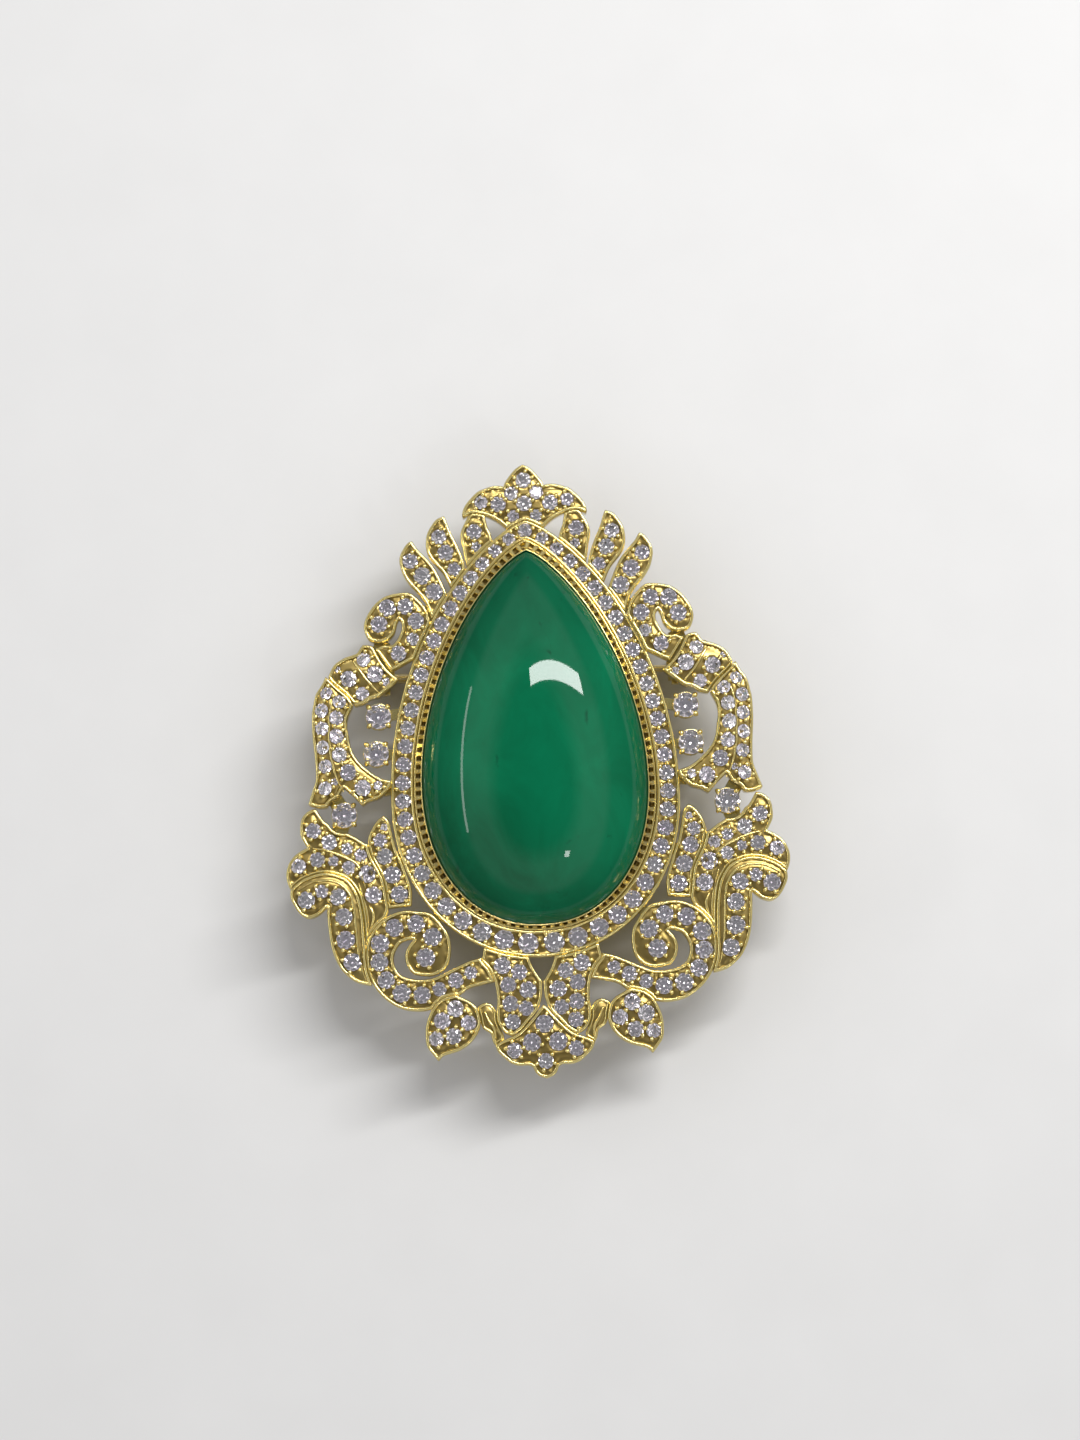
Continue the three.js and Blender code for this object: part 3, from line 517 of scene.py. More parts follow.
def bead_template():
    """A closed ball of radius 1, made of three rings between two poles."""
    verts = [(0, 0, 1)]
    levels, around = 4, 10
    for a in range(1, levels):
        polar = math.pi * a / levels
        for k in range(around):
            turn = 2 * math.pi * k / around
            x, y = math.sin(polar) * math.cos(turn), math.sin(polar) * math.sin(turn)
            verts.append((x, y, math.cos(polar)))
    verts.append((0, 0, -1))
    last = len(verts) - 1
    faces = [(0, 1 + k, 1 + (k + 1) % around) for k in range(around)]
    for a in range(levels - 2):
        for k in range(around):
            m = (k + 1) % around
            faces.append((1 + a * around + k, 1 + (a + 1) * around + k,
                          1 + (a + 1) * around + m, 1 + a * around + m))
    base = 1 + (levels - 2) * around
    faces += [(last, base + (k + 1) % around, base + k) for k in range(around)]
    return verts, faces


BRILLIANT = brilliant_template()
BEAD = bead_template()


def facing(normal):
    """A rotation that turns +Z to a direction."""
    return Vector((0, 0, 1)).rotation_difference(Vector(normal)).to_matrix()


def add_stone(shape, place, radius, normal, spin):
    """A round brilliant with its girdle at a place, facing along a normal and turned about it."""
    turn = facing(normal) @ Matrix.Rotation(spin, 3, "Z")
    verts = [Vector(place) + turn @ (Vector(v) * radius) for v in BRILLIANT[0]]
    faces = [f for f, _ in BRILLIANT[1]]
    shape.add(verts, faces, slot=[s for _, s in BRILLIANT[1]], smooth=False)


def add_bead(shape, place, radius, normal=(0, 0, 1), tall=1.0):
    """A bead, stretched along its normal."""
    turn = facing(normal)
    scaled = [(x * radius, y * radius, z * radius * tall) for x, y, z in BEAD[0]]
    shape.add([Vector(place) + turn @ Vector(v) for v in scaled], BEAD[1])


# ---- Pave work ----


class Bed:
    """The domed floor of an ornament, with its outlines, its level and the seats cut into it."""

    def __init__(self, loops, base, top, dome, reach):
        self.loops = loops
        self.base = base
        self.top = top
        self.floor = top - metal().channel_depth
        self.dome = dome
        self.reach = reach

    def height(self, points):
        """Height of the floor at each point."""
        pts = np.atleast_2d(points)
        share = np.clip(edge_distance(pts, self.loops) / self.reach, 0, 1)
        return self.floor + self.dome * np.sin(share * math.pi / 2)

    def normal(self, x, y):
        """Direction that the floor faces at a point."""
        step = 0.12 * MM
        here = self.height(np.array([[x + step, y], [x - step, y], [x, y + step], [x, y - step]]))
        return Vector((here[1] - here[0], here[3] - here[2], 2 * step)).normalized()


RAIL_ROOM = 1.05  # of a rail's radius, kept clear of stones
SMALLEST_STONE = 0.3 * MM
STONE_GAP = 0.05 * MM
RIM_CLEAR = 0.24 * MM  # from an outline to the first points of its floor
SEAT_CLEAR = 0.1 * MM  # from a seat to the first points round it
SEAT_DEPTH = 0.95  # of a stone's radius
LEAST_WALL = 0.1 * MM  # left under a seat
BEAD_SPACING = 2.3  # of a bead's radius, from one bead to the next


def fit_stones(stones, bed):
    """Shrinks stones that would run into a rail or into each other."""
    if not stones:
        return []
    places = np.array([s[:2] for s in stones])
    radii = np.array([s[2] for s in stones])
    room = edge_distance(places, bed.loops) - RAIL_ROOM * metal().rail_radius
    radii = np.minimum(radii, np.maximum(room, SMALLEST_STONE))
    for _ in range(4):
        for i in range(len(places)):
            for j in range(i + 1, len(places)):
                apart = float(np.linalg.norm(places[i] - places[j])) - STONE_GAP
                excess = radii[i] + radii[j] - apart
                if excess > 0:
                    radii[i] -= excess / 2
                    radii[j] -= excess / 2
    return [(x, y, r) for (x, y), r in zip(places, radii)]


def lattice(low, high, grain):
    """Points in staggered rows over a rectangle."""
    points = []
    row = 0
    y = low[1]
    while y < high[1]:
        x = low[0] + (grain / 2 if row % 2 else 0)
        while x < high[0]:
            points.append((x, y))
            x += grain
        y += grain * 0.866
        row += 1
    return np.array(points)


def clear_of_stones(points, stones, gap=0.0, scale=1.0):
    """Whether each point is outside all the stones, each one scaled and then grown by a gap."""
    keep = np.full(len(points), True)
    for x, y, r in stones:
        keep &= np.hypot(points[:, 0] - x, points[:, 1] - y) > r * scale + gap
    return keep


def open_edges_of(faces):
    """The edges that only one face has, in that face's direction."""
    found = {}
    for f in faces:
        for a, b in zip(f, f[1:] + f[:1]):
            if (b, a) in found:
                del found[(b, a)]
            else:
                found[(a, b)] = True
    return list(found)


def add_body(shape, bed, stones, grain=0.34 * MM):
    """The ornament's solid: upright walls, a flat back, and a domed floor with a seat under each stone."""
    points = []
    edges = []
    for loop in bed.loops:
        start = len(points)
        points.extend(loop)
        edges.extend((start + k, start + (k + 1) % len(loop)) for k in range(len(loop)))
    rim_count = len(points)
    for x, y, r in stones:
        start = len(points)
        turns = [2 * math.pi * k / SEAT_STEPS for k in range(SEAT_STEPS)]
        points.extend((x + r * math.cos(turn), y + r * math.sin(turn)) for turn in turns)
        edges.extend((start + k, start + (k + 1) % SEAT_STEPS) for k in range(SEAT_STEPS))
    grid = lattice(np.min(bed.loops[0], axis=0), np.max(bed.loops[0], axis=0), grain)
    keep = within(grid, bed.loops)
    keep &= edge_distance(grid, bed.loops) > RIM_CLEAR
    points.extend(grid[keep & clear_of_stones(grid, stones, SEAT_CLEAR)])
    flat = [Vector((float(p[0]), float(p[1]))) for p in points]
    verts2, _, tris, origins, _, _ = geometry.delaunay_2d_cdt(flat, edges, [], 0, 1e-8)
    plane = np.array([(v.x, v.y) for v in verts2])
    tris = np.array([t for t in tris if len(t) == 3])
    middle = plane[tris].mean(axis=1)
    tris = tris[within(middle, bed.loops) & clear_of_stones(middle, stones, scale=0.985)]
    on_rim = np.array([any(o < rim_count for o in old) for old in origins])
    height = bed.height(plane)
    height[on_rim] = bed.top - metal().rail_radius
    used = np.unique(tris)
    index = {int(v): k for k, v in enumerate(used)}
    top_verts = [(plane[v][0], plane[v][1], height[v]) for v in used]
    count = len(used)
    faces = []
    for t in tris:
        a, b, c = (index[int(v)] for v in t)
        side = (plane[t[1]] - plane[t[0]]), (plane[t[2]] - plane[t[0]])
        if side[0][0] * side[1][1] - side[0][1] * side[1][0] < 0:
            b, c = c, b
        faces.append((a, b, c))
    # The floor between the rails is painted with full shade, and the rims with none.
    shape.add(top_verts, faces, recess=[0.0 if on_rim[v] else 1.0 for v in used])
    open_edges = open_edges_of(faces)
    start = len(shape.verts) - count
    back = {}
    for a, b in open_edges:
        for v in (a, b):
            if v not in back and on_rim[used[v]]:
                back[v] = len(shape.verts)
                x, y, _ = shape.verts[start + v]
                shape.add([(x, y, bed.base)], [])
    walls = [
        (start + b, start + a, back[a], back[b])
        for a, b in open_edges if a in back and b in back
    ]
    shape.join(walls, smooth=True)
    seats = {}
    for a, b in open_edges:
        if a in back and b in back:
            continue
        x, y, _ = top_verts[a]
        nearest = min(range(len(stones)), key=lambda k: math.hypot(stones[k][0] - x, stones[k][1] - y))
        if nearest not in seats:
            sx, sy, sr = stones[nearest]
            deep = float(bed.height(np.array([[sx, sy]]))[0]) - SEAT_DEPTH * sr
            seats[nearest] = len(shape.verts)
            # The foot of each seat is painted with full shade.
            shape.add([(sx, sy, max(deep, bed.base + LEAST_WALL))], [], recess=1.0)
        shape.join([(start + b, start + a, seats[nearest])], smooth=False)
    lower = [back[index[int(v)]] for v in used if index[int(v)] in back]
    close_back(shape, bed, lower)


def close_back(shape, bed, lower):
    """The flat back of an ornament, over the vertices at the foot of its walls."""
    at = {(round(shape.verts[i][0], 8), round(shape.verts[i][1], 8)): i for i in lower}
    points = [Vector(k) for k in at]
    ids = list(at.values())
    edges = []
    where = {k: n for n, k in enumerate(at)}
    for loop in bed.loops:
        keys = [(round(float(p[0]), 8), round(float(p[1]), 8)) for p in loop]
        keys = [k for k in keys if k in where]
        edges.extend((where[a], where[b]) for a, b in zip(keys, keys[1:] + keys[:1]))
    _, _, tris, origins, _, _ = geometry.delaunay_2d_cdt(points, edges, [], 0, 1e-9)
    faces = []
    plane = np.array([(p.x, p.y) for p in points])
    kept = [[origins[v][0] for v in t if origins[v]] for t in tris]
    kept = [old for old in kept if len(old) == 3]
    held = within(plane[np.array(kept)].mean(axis=1), bed.loops)
    for old, held_here in zip(kept, held):
        if held_here:
            a, b, c = plane[old]
            turn = (b[0] - a[0]) * (c[1] - a[1]) - (b[1] - a[1]) * (c[0] - a[0])
            ring = [ids[v] for v in old]
            faces.append(tuple(ring if turn < 0 else ring[::-1]))
    shape.join(faces, smooth=False)


RAIL_INSET = 0.95  # of a rail's radius, from the outline to its middle
RIDGE_RISE = 0.55  # of a ridge's radius, from the floor to its middle
BEAD_TURN = 0.26  # radians, of the first place tried round a stone
BEAD_REACH = 0.45  # of a bead's radius, beyond the stone's edge
BEAD_RISE = 0.7  # of a bead's radius, from the floor to its middle
BEAD_TALL = 1.15


def add_rails(shape, bed):
    """The polished rails, just inside the outlines."""
    radius = metal().rail_radius
    for k, loop in enumerate(bed.loops):
        inward = -1 if k == 0 else 1
        path = loop + outward(loop) * radius * RAIL_INSET * inward
        level = np.full((len(path), 1), bed.top - radius)
        tube(shape, np.hstack([path, level]), radius, radius, closed=True)


def add_ridge(shape, bed, line, radius):
    """A raised line across an ornament's floor."""
    path = spline(np.array(line) * MM, 0.2 * MM)
    level = bed.height(path)[:, None] + radius * RIDGE_RISE
    tube(shape, np.hstack([path, level]), radius, radius, taper=True)


def add_beads(shape, bed, stones, clear_of=()):
    """Beads raised at the corners between the stones and along the rails."""
    radius = metal().bead_radius
    spots = []
    for x, y, r in stones:
        for k in range(BEAD_SPOTS):
            angle = 2 * math.pi * k / BEAD_SPOTS + BEAD_TURN
            out = r + radius * BEAD_REACH
            spots.append((x + out * math.cos(angle), y + out * math.sin(angle)))
    if not spots:
        return
    spots = np.array(spots)
    keep = within(spots, bed.loops)
    keep &= edge_distance(spots, bed.loops) > metal().rail_radius * 1.6 + radius * 0.4
    keep &= clear_of_stones(spots, stones, radius * 0.25)
    for line in clear_of:
        path = spline(np.array(line) * MM, 0.2 * MM)
        for p in path:
            keep &= np.hypot(spots[:, 0] - p[0], spots[:, 1] - p[1]) > radius
    spots = spots[keep]
    near = np.array([
        sorted(math.hypot(p[0] - x, p[1] - y) - r for x, y, r in stones)[:2] + [0.0] for p in spots
    ])
    order = np.argsort(near[:, 1]) if len(near) else []
    chosen = []
    for i in order:
        if all(np.linalg.norm(spots[i] - spots[j]) > radius * BEAD_SPACING for j in chosen):
            chosen.append(i)
    for i in chosen:
        x, y = spots[i]
        z = float(bed.height(spots[i][None, :])[0]) + radius * BEAD_RISE
        add_bead(shape, (x, y, z), radius, tuple(bed.normal(x, y)), tall=BEAD_TALL)


def pave(loops, stones, ridges, dome, reach, rng, base, top):
    """The metal and the stones of one ornament, as two shapes."""
    bed = Bed(loops, base, top, dome, reach)
    set_stones = fit_stones(stones, bed)
    gold = Shape()
    add_body(gold, bed, set_stones)
    add_rails(gold, bed)
    for line in ridges:
        add_ridge(gold, bed, line, metal().rail_radius * 0.9)
    add_beads(gold, bed, set_stones, ridges)
    crystals = Shape()
    for x, y, r in set_stones:
        normal = bed.normal(x, y)
        tilt = Vector((rng.uniform(-TILT, TILT), rng.uniform(-TILT, TILT), 0))
        z = float(bed.height(np.array([[x, y]]))[0]) + gems().lift * r
        add_stone(crystals, (x, y, z), r, (normal + tilt).normalized(), rng.uniform(0, math.pi / 4))
    return gold, crystals


def refine(loop, times):
    """A closed outline with the same number of new points in each span, so that loops can be lofted."""
    pts = np.asarray(loop)
    made = []
    for i in range(len(pts)):
        p0, p1, p2, p3 = (pts[(i + k) % len(pts)] for k in (-1, 0, 1, 2))
        made.extend(between_points(p0, p1, p2, p3, k / times) for k in range(times))
    return np.array(made)


def rounded(points, keep=2.2):
    """The same outline with its corners melted away: only its slowest waves are kept."""
    waves = np.fft.fft(points[:, 0] + 1j * points[:, 1])
    order = np.abs(np.fft.fftfreq(len(points)) * len(points))
    soft = np.fft.ifft(waves * np.exp(-((order / keep) ** 4)))
    return np.stack([soft.real, soft.imag], axis=1)


def at_level(points, z):
    """A flat outline lifted to a height."""
    return np.hstack([points, np.full((len(points), 1), z)])


def loft(shape, rings, hollow=False, recess=None, smooth=True):
    """A surface through rings of equal point counts. Hollow joins the last ring to the first, and each ring
    may carry painted shade for the channels.
    """
    n = len(rings[0])
    values = recess or [0.0] * len(rings)
    verts = np.vstack(rings)
    faces = []
    count = len(rings)
    for k in range(count if hollow else count - 1):
        j = (k + 1) % count
        for i in range(n):
            m = (i + 1) % n
            faces.append((k * n + i, k * n + m, j * n + m, j * n + i))
    if not hollow:
        faces.append(tuple(reversed(range(n))))
        faces.append(tuple(range((count - 1) * n, count * n)))
    shape.add(verts, faces, recess=[v for v in values for _ in range(n)], smooth=smooth)


def turned(shape, profile, centre, steps=32):
    """A ring turned about an upright axis. The profile is a closed list of radius and height."""
    cx, cy = centre
    rings = []
    for r, z in profile:
        turn = 2 * math.pi * np.arange(steps) / steps
        rings.append(np.stack([cx + r * np.cos(turn), cy + r * np.sin(turn), np.full(steps, z)], axis=1))
    loft(shape, rings, hollow=True)


# ---- Materials ----


def add_node(tree, kind, values=None, links=None, **settings):
    """A shader node with its settings, its input values and its links."""
    node = tree.nodes.new(kind)
    for name, value in settings.items():
        setattr(node, name, value)
    for name, value in (values or {}).items():
        node.inputs[name].default_value = value
    for name, source in (links or {}).items():
        tree.links.new(source, node.inputs[name])
    return node


def colour(rgb):
    """A colour with full opacity."""
    return (rgb[0], rgb[1], rgb[2], 1.0)


def mix_colour(tree, factor, a, b):
    """A colour mix whose three inputs are each a socket or a plain value."""
    node = tree.nodes.new("ShaderNodeMix")
    node.data_type = "RGBA"
    sockets = (node.inputs["Factor"], node.inputs[6], node.inputs[7])
    for socket, value in zip(sockets, (factor, a, b)):
        if isinstance(value, bpy.types.NodeSocket):
            tree.links.new(value, socket)
        else:
            socket.default_value = value
    return node.outputs[2]


def math_node(tree, operation, a, b=0.0, clamp=False):
    """The result of a sum, whose inputs are each a socket or a number."""
    node = tree.nodes.new("ShaderNodeMath")
    node.operation = operation
    node.use_clamp = clamp
    for socket, value in zip(node.inputs, (a, b)):
        if isinstance(value, bpy.types.NodeSocket):
            tree.links.new(value, socket)
        else:
            socket.default_value = value
    return node.outputs[0]


def noise(tree, scale, detail, roughness=0.55, distortion=0.0, where=None):
    """Soft random values over the object's own space, or over the vectors given."""
    if where is None:
        where = tree.nodes.new("ShaderNodeTexCoord").outputs["Object"]
    node = add_node(
        tree, "ShaderNodeTexNoise", links={"Vector": where},
        values={"Scale": scale, "Detail": detail, "Roughness": roughness, "Distortion": distortion},
    )
    return node.outputs["Fac"]


def over(tree, value, start, gain):
    """How far a value rises over a start, times a gain, and held between 0 and 1."""
    rise = math_node(tree, "SUBTRACT", value, start, clamp=True)
    return math_node(tree, "MULTIPLY", rise, gain, clamp=True)


def plate_tone_group():
    """Colour, roughness and relief of plated metal: bright where it is polished, darker and warmer in random
    stains and in its channels, where the dark is painted shade.
    """
    group = bpy.data.node_groups.new("Plate Tone", "ShaderNodeTree")
    face = group.interface
    face.new_socket(name="Polished", in_out="INPUT", socket_type="NodeSocketColor")
    face.new_socket(name="Recess Shade", in_out="INPUT", socket_type="NodeSocketColor")
    face.new_socket(name="Dulling", in_out="INPUT", socket_type="NodeSocketFloat")
    face.new_socket(name="Color", in_out="OUTPUT", socket_type="NodeSocketColor")
    face.new_socket(name="Roughness", in_out="OUTPUT", socket_type="NodeSocketFloat")
    face.new_socket(name="Height", in_out="OUTPUT", socket_type="NodeSocketFloat")
    given = group.nodes.new("NodeGroupInput").outputs
    out = group.nodes.new("NodeGroupOutput")
    # Painted shade: the attribute read here marks the channels and seats that are painted darker where shade
    # falls.
    hollow = add_node(group, "ShaderNodeAttribute", attribute_name="recess").outputs["Fac"]
    cloud = noise(group, 420.0, 3.0)
    grain = noise(group, 5200.0, 2.0)
    stained = math_node(group, "MULTIPLY", cloud, 0.35)
    # Painted shade in the channels plus random stains: how far the plate goes towards the darker colour.
    shade_and_stain = math_node(group, "ADD", math_node(group, "MULTIPLY", hollow, 0.75), stained, clamp=True)
    tone = mix_colour(group, shade_and_stain, given["Polished"], given["Recess Shade"])
    rough = math_node(group, "ADD", math_node(group, "MULTIPLY", shade_and_stain, 0.16), given["Dulling"])
    rough = math_node(group, "ADD", rough, math_node(group, "MULTIPLY", grain, 0.05), clamp=True)
    group.links.new(tone, out.inputs["Color"])
    group.links.new(rough, out.inputs["Roughness"])
    group.links.new(math_node(group, "ADD", cloud, grain), out.inputs["Height"])
    return group


def new_material(name):
    """A material with its node tree and its Principled shader."""
    material = bpy.data.materials.new(name)
    material.use_nodes = True
    tree = material.node_tree
    shader = tree.nodes["Principled BSDF"]
    return material, tree, shader


def plated_material(name, polished, recess, dulling, bump):
    """Plated metal, from the shared tone group."""
    material, tree, shader = new_material(name)
    group = tree.nodes.new("ShaderNodeGroup")
    group.node_tree = bpy.data.node_groups.get("Plate Tone") or plate_tone_group()
    group.inputs["Polished"].default_value = colour(polished)
    group.inputs["Recess Shade"].default_value = colour(recess)
    group.inputs["Dulling"].default_value = dulling
    relief = add_node(
        tree, "ShaderNodeBump", values={"Strength": bump, "Distance": 0.02 * MM},
        links={"Height": group.outputs["Height"]},
    )
    shader.inputs["Metallic"].default_value = 1.0
    tree.links.new(group.outputs["Color"], shader.inputs["Base Color"])
    tree.links.new(group.outputs["Roughness"], shader.inputs["Roughness"])
    tree.links.new(relief.outputs["Normal"], shader.inputs["Normal"])
    return material


def crystal_material():
    """The clear crown of a pave stone."""
    material, tree, shader = new_material("crystal_crown")
    tint = mix_colour(tree, noise(tree, 500.0, 1.0), (1.0, 0.99, 0.98, 1.0), (0.96, 0.94, 1.0, 1.0))
    tree.links.new(tint, shader.inputs["Base Color"])
    shader.inputs["Roughness"].default_value = 0.0
    shader.inputs["IOR"].default_value = 1.9
    shader.inputs["Transmission Weight"].default_value = 1.0
    return material


def foil_material():
    """The bright underside of a stone, seen through its crown."""
    material, tree, shader = new_material("crystal_foil")
    patch = noise(tree, 700.0, 1.0)
    tint = mix_colour(tree, patch, (1.0, 1.0, 0.96, 1.0), (0.93, 0.88, 0.95, 1.0))
    tree.links.new(tint, shader.inputs["Base Color"])
    shader.inputs["Metallic"].default_value = 1.0
    shader.inputs["Roughness"].default_value = 0.06
    return material


# Tones in the cabochon: painted shade at its tip, the side towards the window light, and the dark of its
# inclusions.
TIP_SHADE = (0.0, 0.046, 0.021, 1.0)
INCLUSION_TONE = (0.0, 0.035, 0.016, 1.0)


def emerald_material():
    """Deep green with milky veils, a few dark inclusions, painted shade towards its tip and a glass-like
    polish.
    """
    material, tree, shader = new_material("emerald_body")
    where = tree.nodes.new("ShaderNodeTexCoord").outputs["Object"]
    stretch = add_node(
        tree, "ShaderNodeMapping", links={"Vector": where},
        values={"Scale": (1.0, 0.62, 1.0), "Rotation": (0.0, 0.0, 0.35)},
    ).outputs["Vector"]
    veils = noise(tree, 150.0, 5.0, 0.6, 1.2, stretch)
    cloud = noise(tree, 55.0, 2.0, 0.5, 0.0, stretch)
    milky = over(tree, veils, 0.38, 2.2)
    broad = over(tree, cloud, 0.36, 3.0)
    amount = math_node(tree, "ADD", math_node(tree, "MULTIPLY", milky, 0.4),
                       math_node(tree, "MULTIPLY", broad, 0.6), clamp=True)
    body = mix_colour(tree, amount, colour(gems().emerald), colour(gems().veil))
    speck = noise(tree, 420.0, 3.0, 0.6, 0.6, stretch)
    place = add_node(tree, "ShaderNodeSeparateXYZ", links={"Vector": where}).outputs
    # Painted shade: darker towards the tip, the side towards the window light, so that the far end stays
    # brighter as light through the stone would leave it.
    tip_shade = over(tree, place["Y"], 0.009, 55.0)
    body = mix_colour(tree, tip_shade, body, TIP_SHADE)
    marked = over(tree, speck, 0.66, 9.0)
    body = mix_colour(tree, marked, body, INCLUSION_TONE)
    tree.links.new(body, shader.inputs["Base Color"])
    shader.inputs["Roughness"].default_value = 0.2
    shader.inputs["IOR"].default_value = 1.5
    shader.inputs["Specular IOR Level"].default_value = 0.0
    shader.inputs["Coat Weight"].default_value = 1.0
    shader.inputs["Coat Roughness"].default_value = 0.03
    shader.inputs["Coat IOR"].default_value = 1.3
    return material


def floor_material():
    """Plain pale paper."""
    material, tree, shader = new_material("studio_floor")
    paper = mix_colour(tree, noise(tree, 90.0, 4.0), (0.58, 0.575, 0.565, 1.0), (0.62, 0.615, 0.605, 1.0))
    tree.links.new(paper, shader.inputs["Base Color"])
    shader.inputs["Roughness"].default_value = 0.55
    return material


MAKERS = {
    "gold": lambda: plated_material("gold_plate", metal().gold, metal().recess, 0.13, 0.25),
    "wire": lambda: plated_material("pin_wire", (0.86, 0.74, 0.42), (0.6, 0.46, 0.2), 0.2, 0.15),
    "crown": crystal_material,
    "foil": foil_material,
    "emerald": emerald_material,
    "floor": floor_material,
}
made_materials = {}


def finish_of(kind):
    """A material by its name in MAKERS, made when it is first asked for."""
    if kind not in made_materials:
        made_materials[kind] = MAKERS[kind]()
    return made_materials[kind]


# ---- Operators ----


# The cabochon.
GIRDLE_RISE = 1.85 * MM  # from its foot to where the dome starts
LIP_GAP = 0.02 * MM
DOME_LEVELS = 26
CROWN_CURVE = 2.3  # higher is flatter on top
SHOULDER_CURVE = 0.62  # lower is steeper at the girdle
EDGE_HOLD = 5  # higher lets the outline go round sooner above the girdle


class BROOCH_OT_cabochon(bpy.types.Operator):
    """Build the domed green stone"""

    bl_idname = "brooch.cabochon"
    bl_label = "Cabochon"

    def execute(self, context):
        low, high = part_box("cabochon")
        girdle = low.z + GIRDLE_RISE
        outline = refine(loops_at("bezel", top=True)[1], 3)
        edge = outline - outward(outline) * LIP_GAP
        centre = np.array([0.0, edge[np.argmax(edge[:, 0])][1]])
        soft = rounded(edge)
        shape = Shape()
        rings = [at_level(edge + (centre - edge) * 0.02, low.z), at_level(edge, low.z + 0.3 * MM)]
        rings.append(at_level(edge, girdle))
        dome = high.z - girdle
        for k in range(1, DOME_LEVELS):
            share = math.cos(k / DOME_LEVELS * math.pi / 2)
            z = girdle + dome * (1 - share**CROWN_CURVE) ** SHOULDER_CURVE
            outline = soft + (edge - soft) * share**EDGE_HOLD
            rings.append(at_level(centre + (outline - centre) * share, z))
        verts = np.vstack(rings)
        n = len(edge)
        faces = []
        for k in range(len(rings) - 1):
            for i in range(n):
                m = (i + 1) % n
                faces.append((k * n + i, k * n + m, (k + 1) * n + m, (k + 1) * n + i))
        top = len(verts)
        last = (len(rings) - 1) * n
        faces += [(last + i, last + (i + 1) % n, top) for i in range(n)]
        faces.append(tuple(reversed(range(n))))
        shape.add(np.vstack([verts, [[centre[0], centre[1], high.z]]]), faces)
        shape.make("emerald_cabochon", ["emerald"], ["cabochon"])
        return {"FINISHED"}


# The bezel, as depths below its highest point except for the rail's radius and the tooth's half width.
OUTER_DROP = 0.72 * MM
CHANNEL_DROP = 1.15 * MM
BEZEL_RAIL = 0.11 * MM
TOOTH_HALF = 0.22 * MM
TOOTH_ROOT = 1.4 * MM
TOOTH_DROP = (0.1 * MM, 0.42 * MM)  # of a tooth's top at its inner and outer ends
TOOTH_CHAMFER = 0.1 * MM


def add_tooth(shape, place, along, out, half_width, half_depth, low, high_in, high_out):
    """A small chamfered block across the bezel's channel."""
    rings = []
    for shrink, drop in ((0.0, None), (0.0, TOOTH_CHAMFER), (TOOTH_CHAMFER, 0.0)):
        ring = []
        for a, o in ((-1, -1), (1, -1), (1, 1), (-1, 1)):
            top = high_in if o < 0 else high_out
            z = low if drop is None else top - drop
            p = place + along * a * (half_width - shrink) + out * o * (half_depth - shrink)
            ring.append((p[0], p[1], z))
        rings.append(np.array(ring))
    turn = np.cross(np.append(along, 0), np.append(out, 0))[2]
    if turn < 0:
        rings = [r[::-1] for r in rings]
    loft(shape, rings, smooth=False)


class BROOCH_OT_bezel(bpy.types.Operator):
    """Build the bezel: a thin lip against the stone and a row of teeth outside it"""

    bl_idname = "brooch.bezel"
    bl_label = "Bezel"

    def execute(self, context):
        low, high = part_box("bezel")
        outer, seat = (refine(p, 4) for p in loops_at("bezel"))
        inner = refine(loops_at("bezel", top=True)[1], 4)
        seat_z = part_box("cabochon")[0].z

        def between(share):
            return inner + (outer - inner) * share

        # Each corner of the collar's section: its outline, its height and how much painted shade the metal
        # gets there.
        section = [
            (seat, low.z, 1), (outer, low.z, 1), (outer, high.z - OUTER_DROP, 0),
            (between(0.86), high.z - CHANNEL_DROP, 1.4), (between(0.22), high.z - CHANNEL_DROP, 1.4),
            (between(0.2), high.z - 0.12 * MM, 0), (between(0.13), high.z, 0), (between(0.04), high.z, 0),
            (between(0.0), high.z - 0.1 * MM, 0), (inner, seat_z, 1), (seat, seat_z, 1),
        ]
        shape = Shape()
        loft(shape, [at_level(p, z) for p, z, _ in section], hollow=True, recess=[r for _, _, r in section])
        rail = BEZEL_RAIL
        tube(shape, at_level(between(0.93), high.z - OUTER_DROP), rail, rail, closed=True)
        tube(shape, at_level(between(0.09), high.z - 0.02 * MM), rail * 0.9, rail * 0.8, closed=True)
        middle = between(0.55)
        steps = np.linalg.norm(np.roll(middle, -1, axis=0) - middle, axis=1)
        travel = np.concatenate([[0], np.cumsum(steps)])
        count = round(travel[-1] / metal().tooth_pitch)
        sides = outward(middle)
        for k in range(count):
            s = (k + 0.5) * travel[-1] / count
            i = int(np.searchsorted(travel, s)) - 1
            t = (s - travel[i]) / steps[i]
            j = (i + 1) % len(middle)
            place = middle[i] * (1 - t) + middle[j] * t
            out = sides[i] * (1 - t) + sides[j] * t
            out /= np.linalg.norm(out)
            along = np.array([-out[1], out[0]])
            room = float(np.linalg.norm(between(0.87)[i] - between(0.2)[i])) / 2
            add_tooth(shape, place, along, out, TOOTH_HALF, room, high.z - TOOTH_ROOT,
                      high.z - TOOTH_DROP[0], high.z - TOOTH_DROP[1])
        shape.make_gold("bezel_collar", "bezel")
        return {"FINISHED"}


# The halo's stones, in millimetres: each pair is the value at the top and what the bottom adds.
HALO_RADIUS = (0.78, 0.26)
HALO_GAP = (0.25, 0.24)
SWELL_START = 0.6  # share of the way down where the stones begin to grow


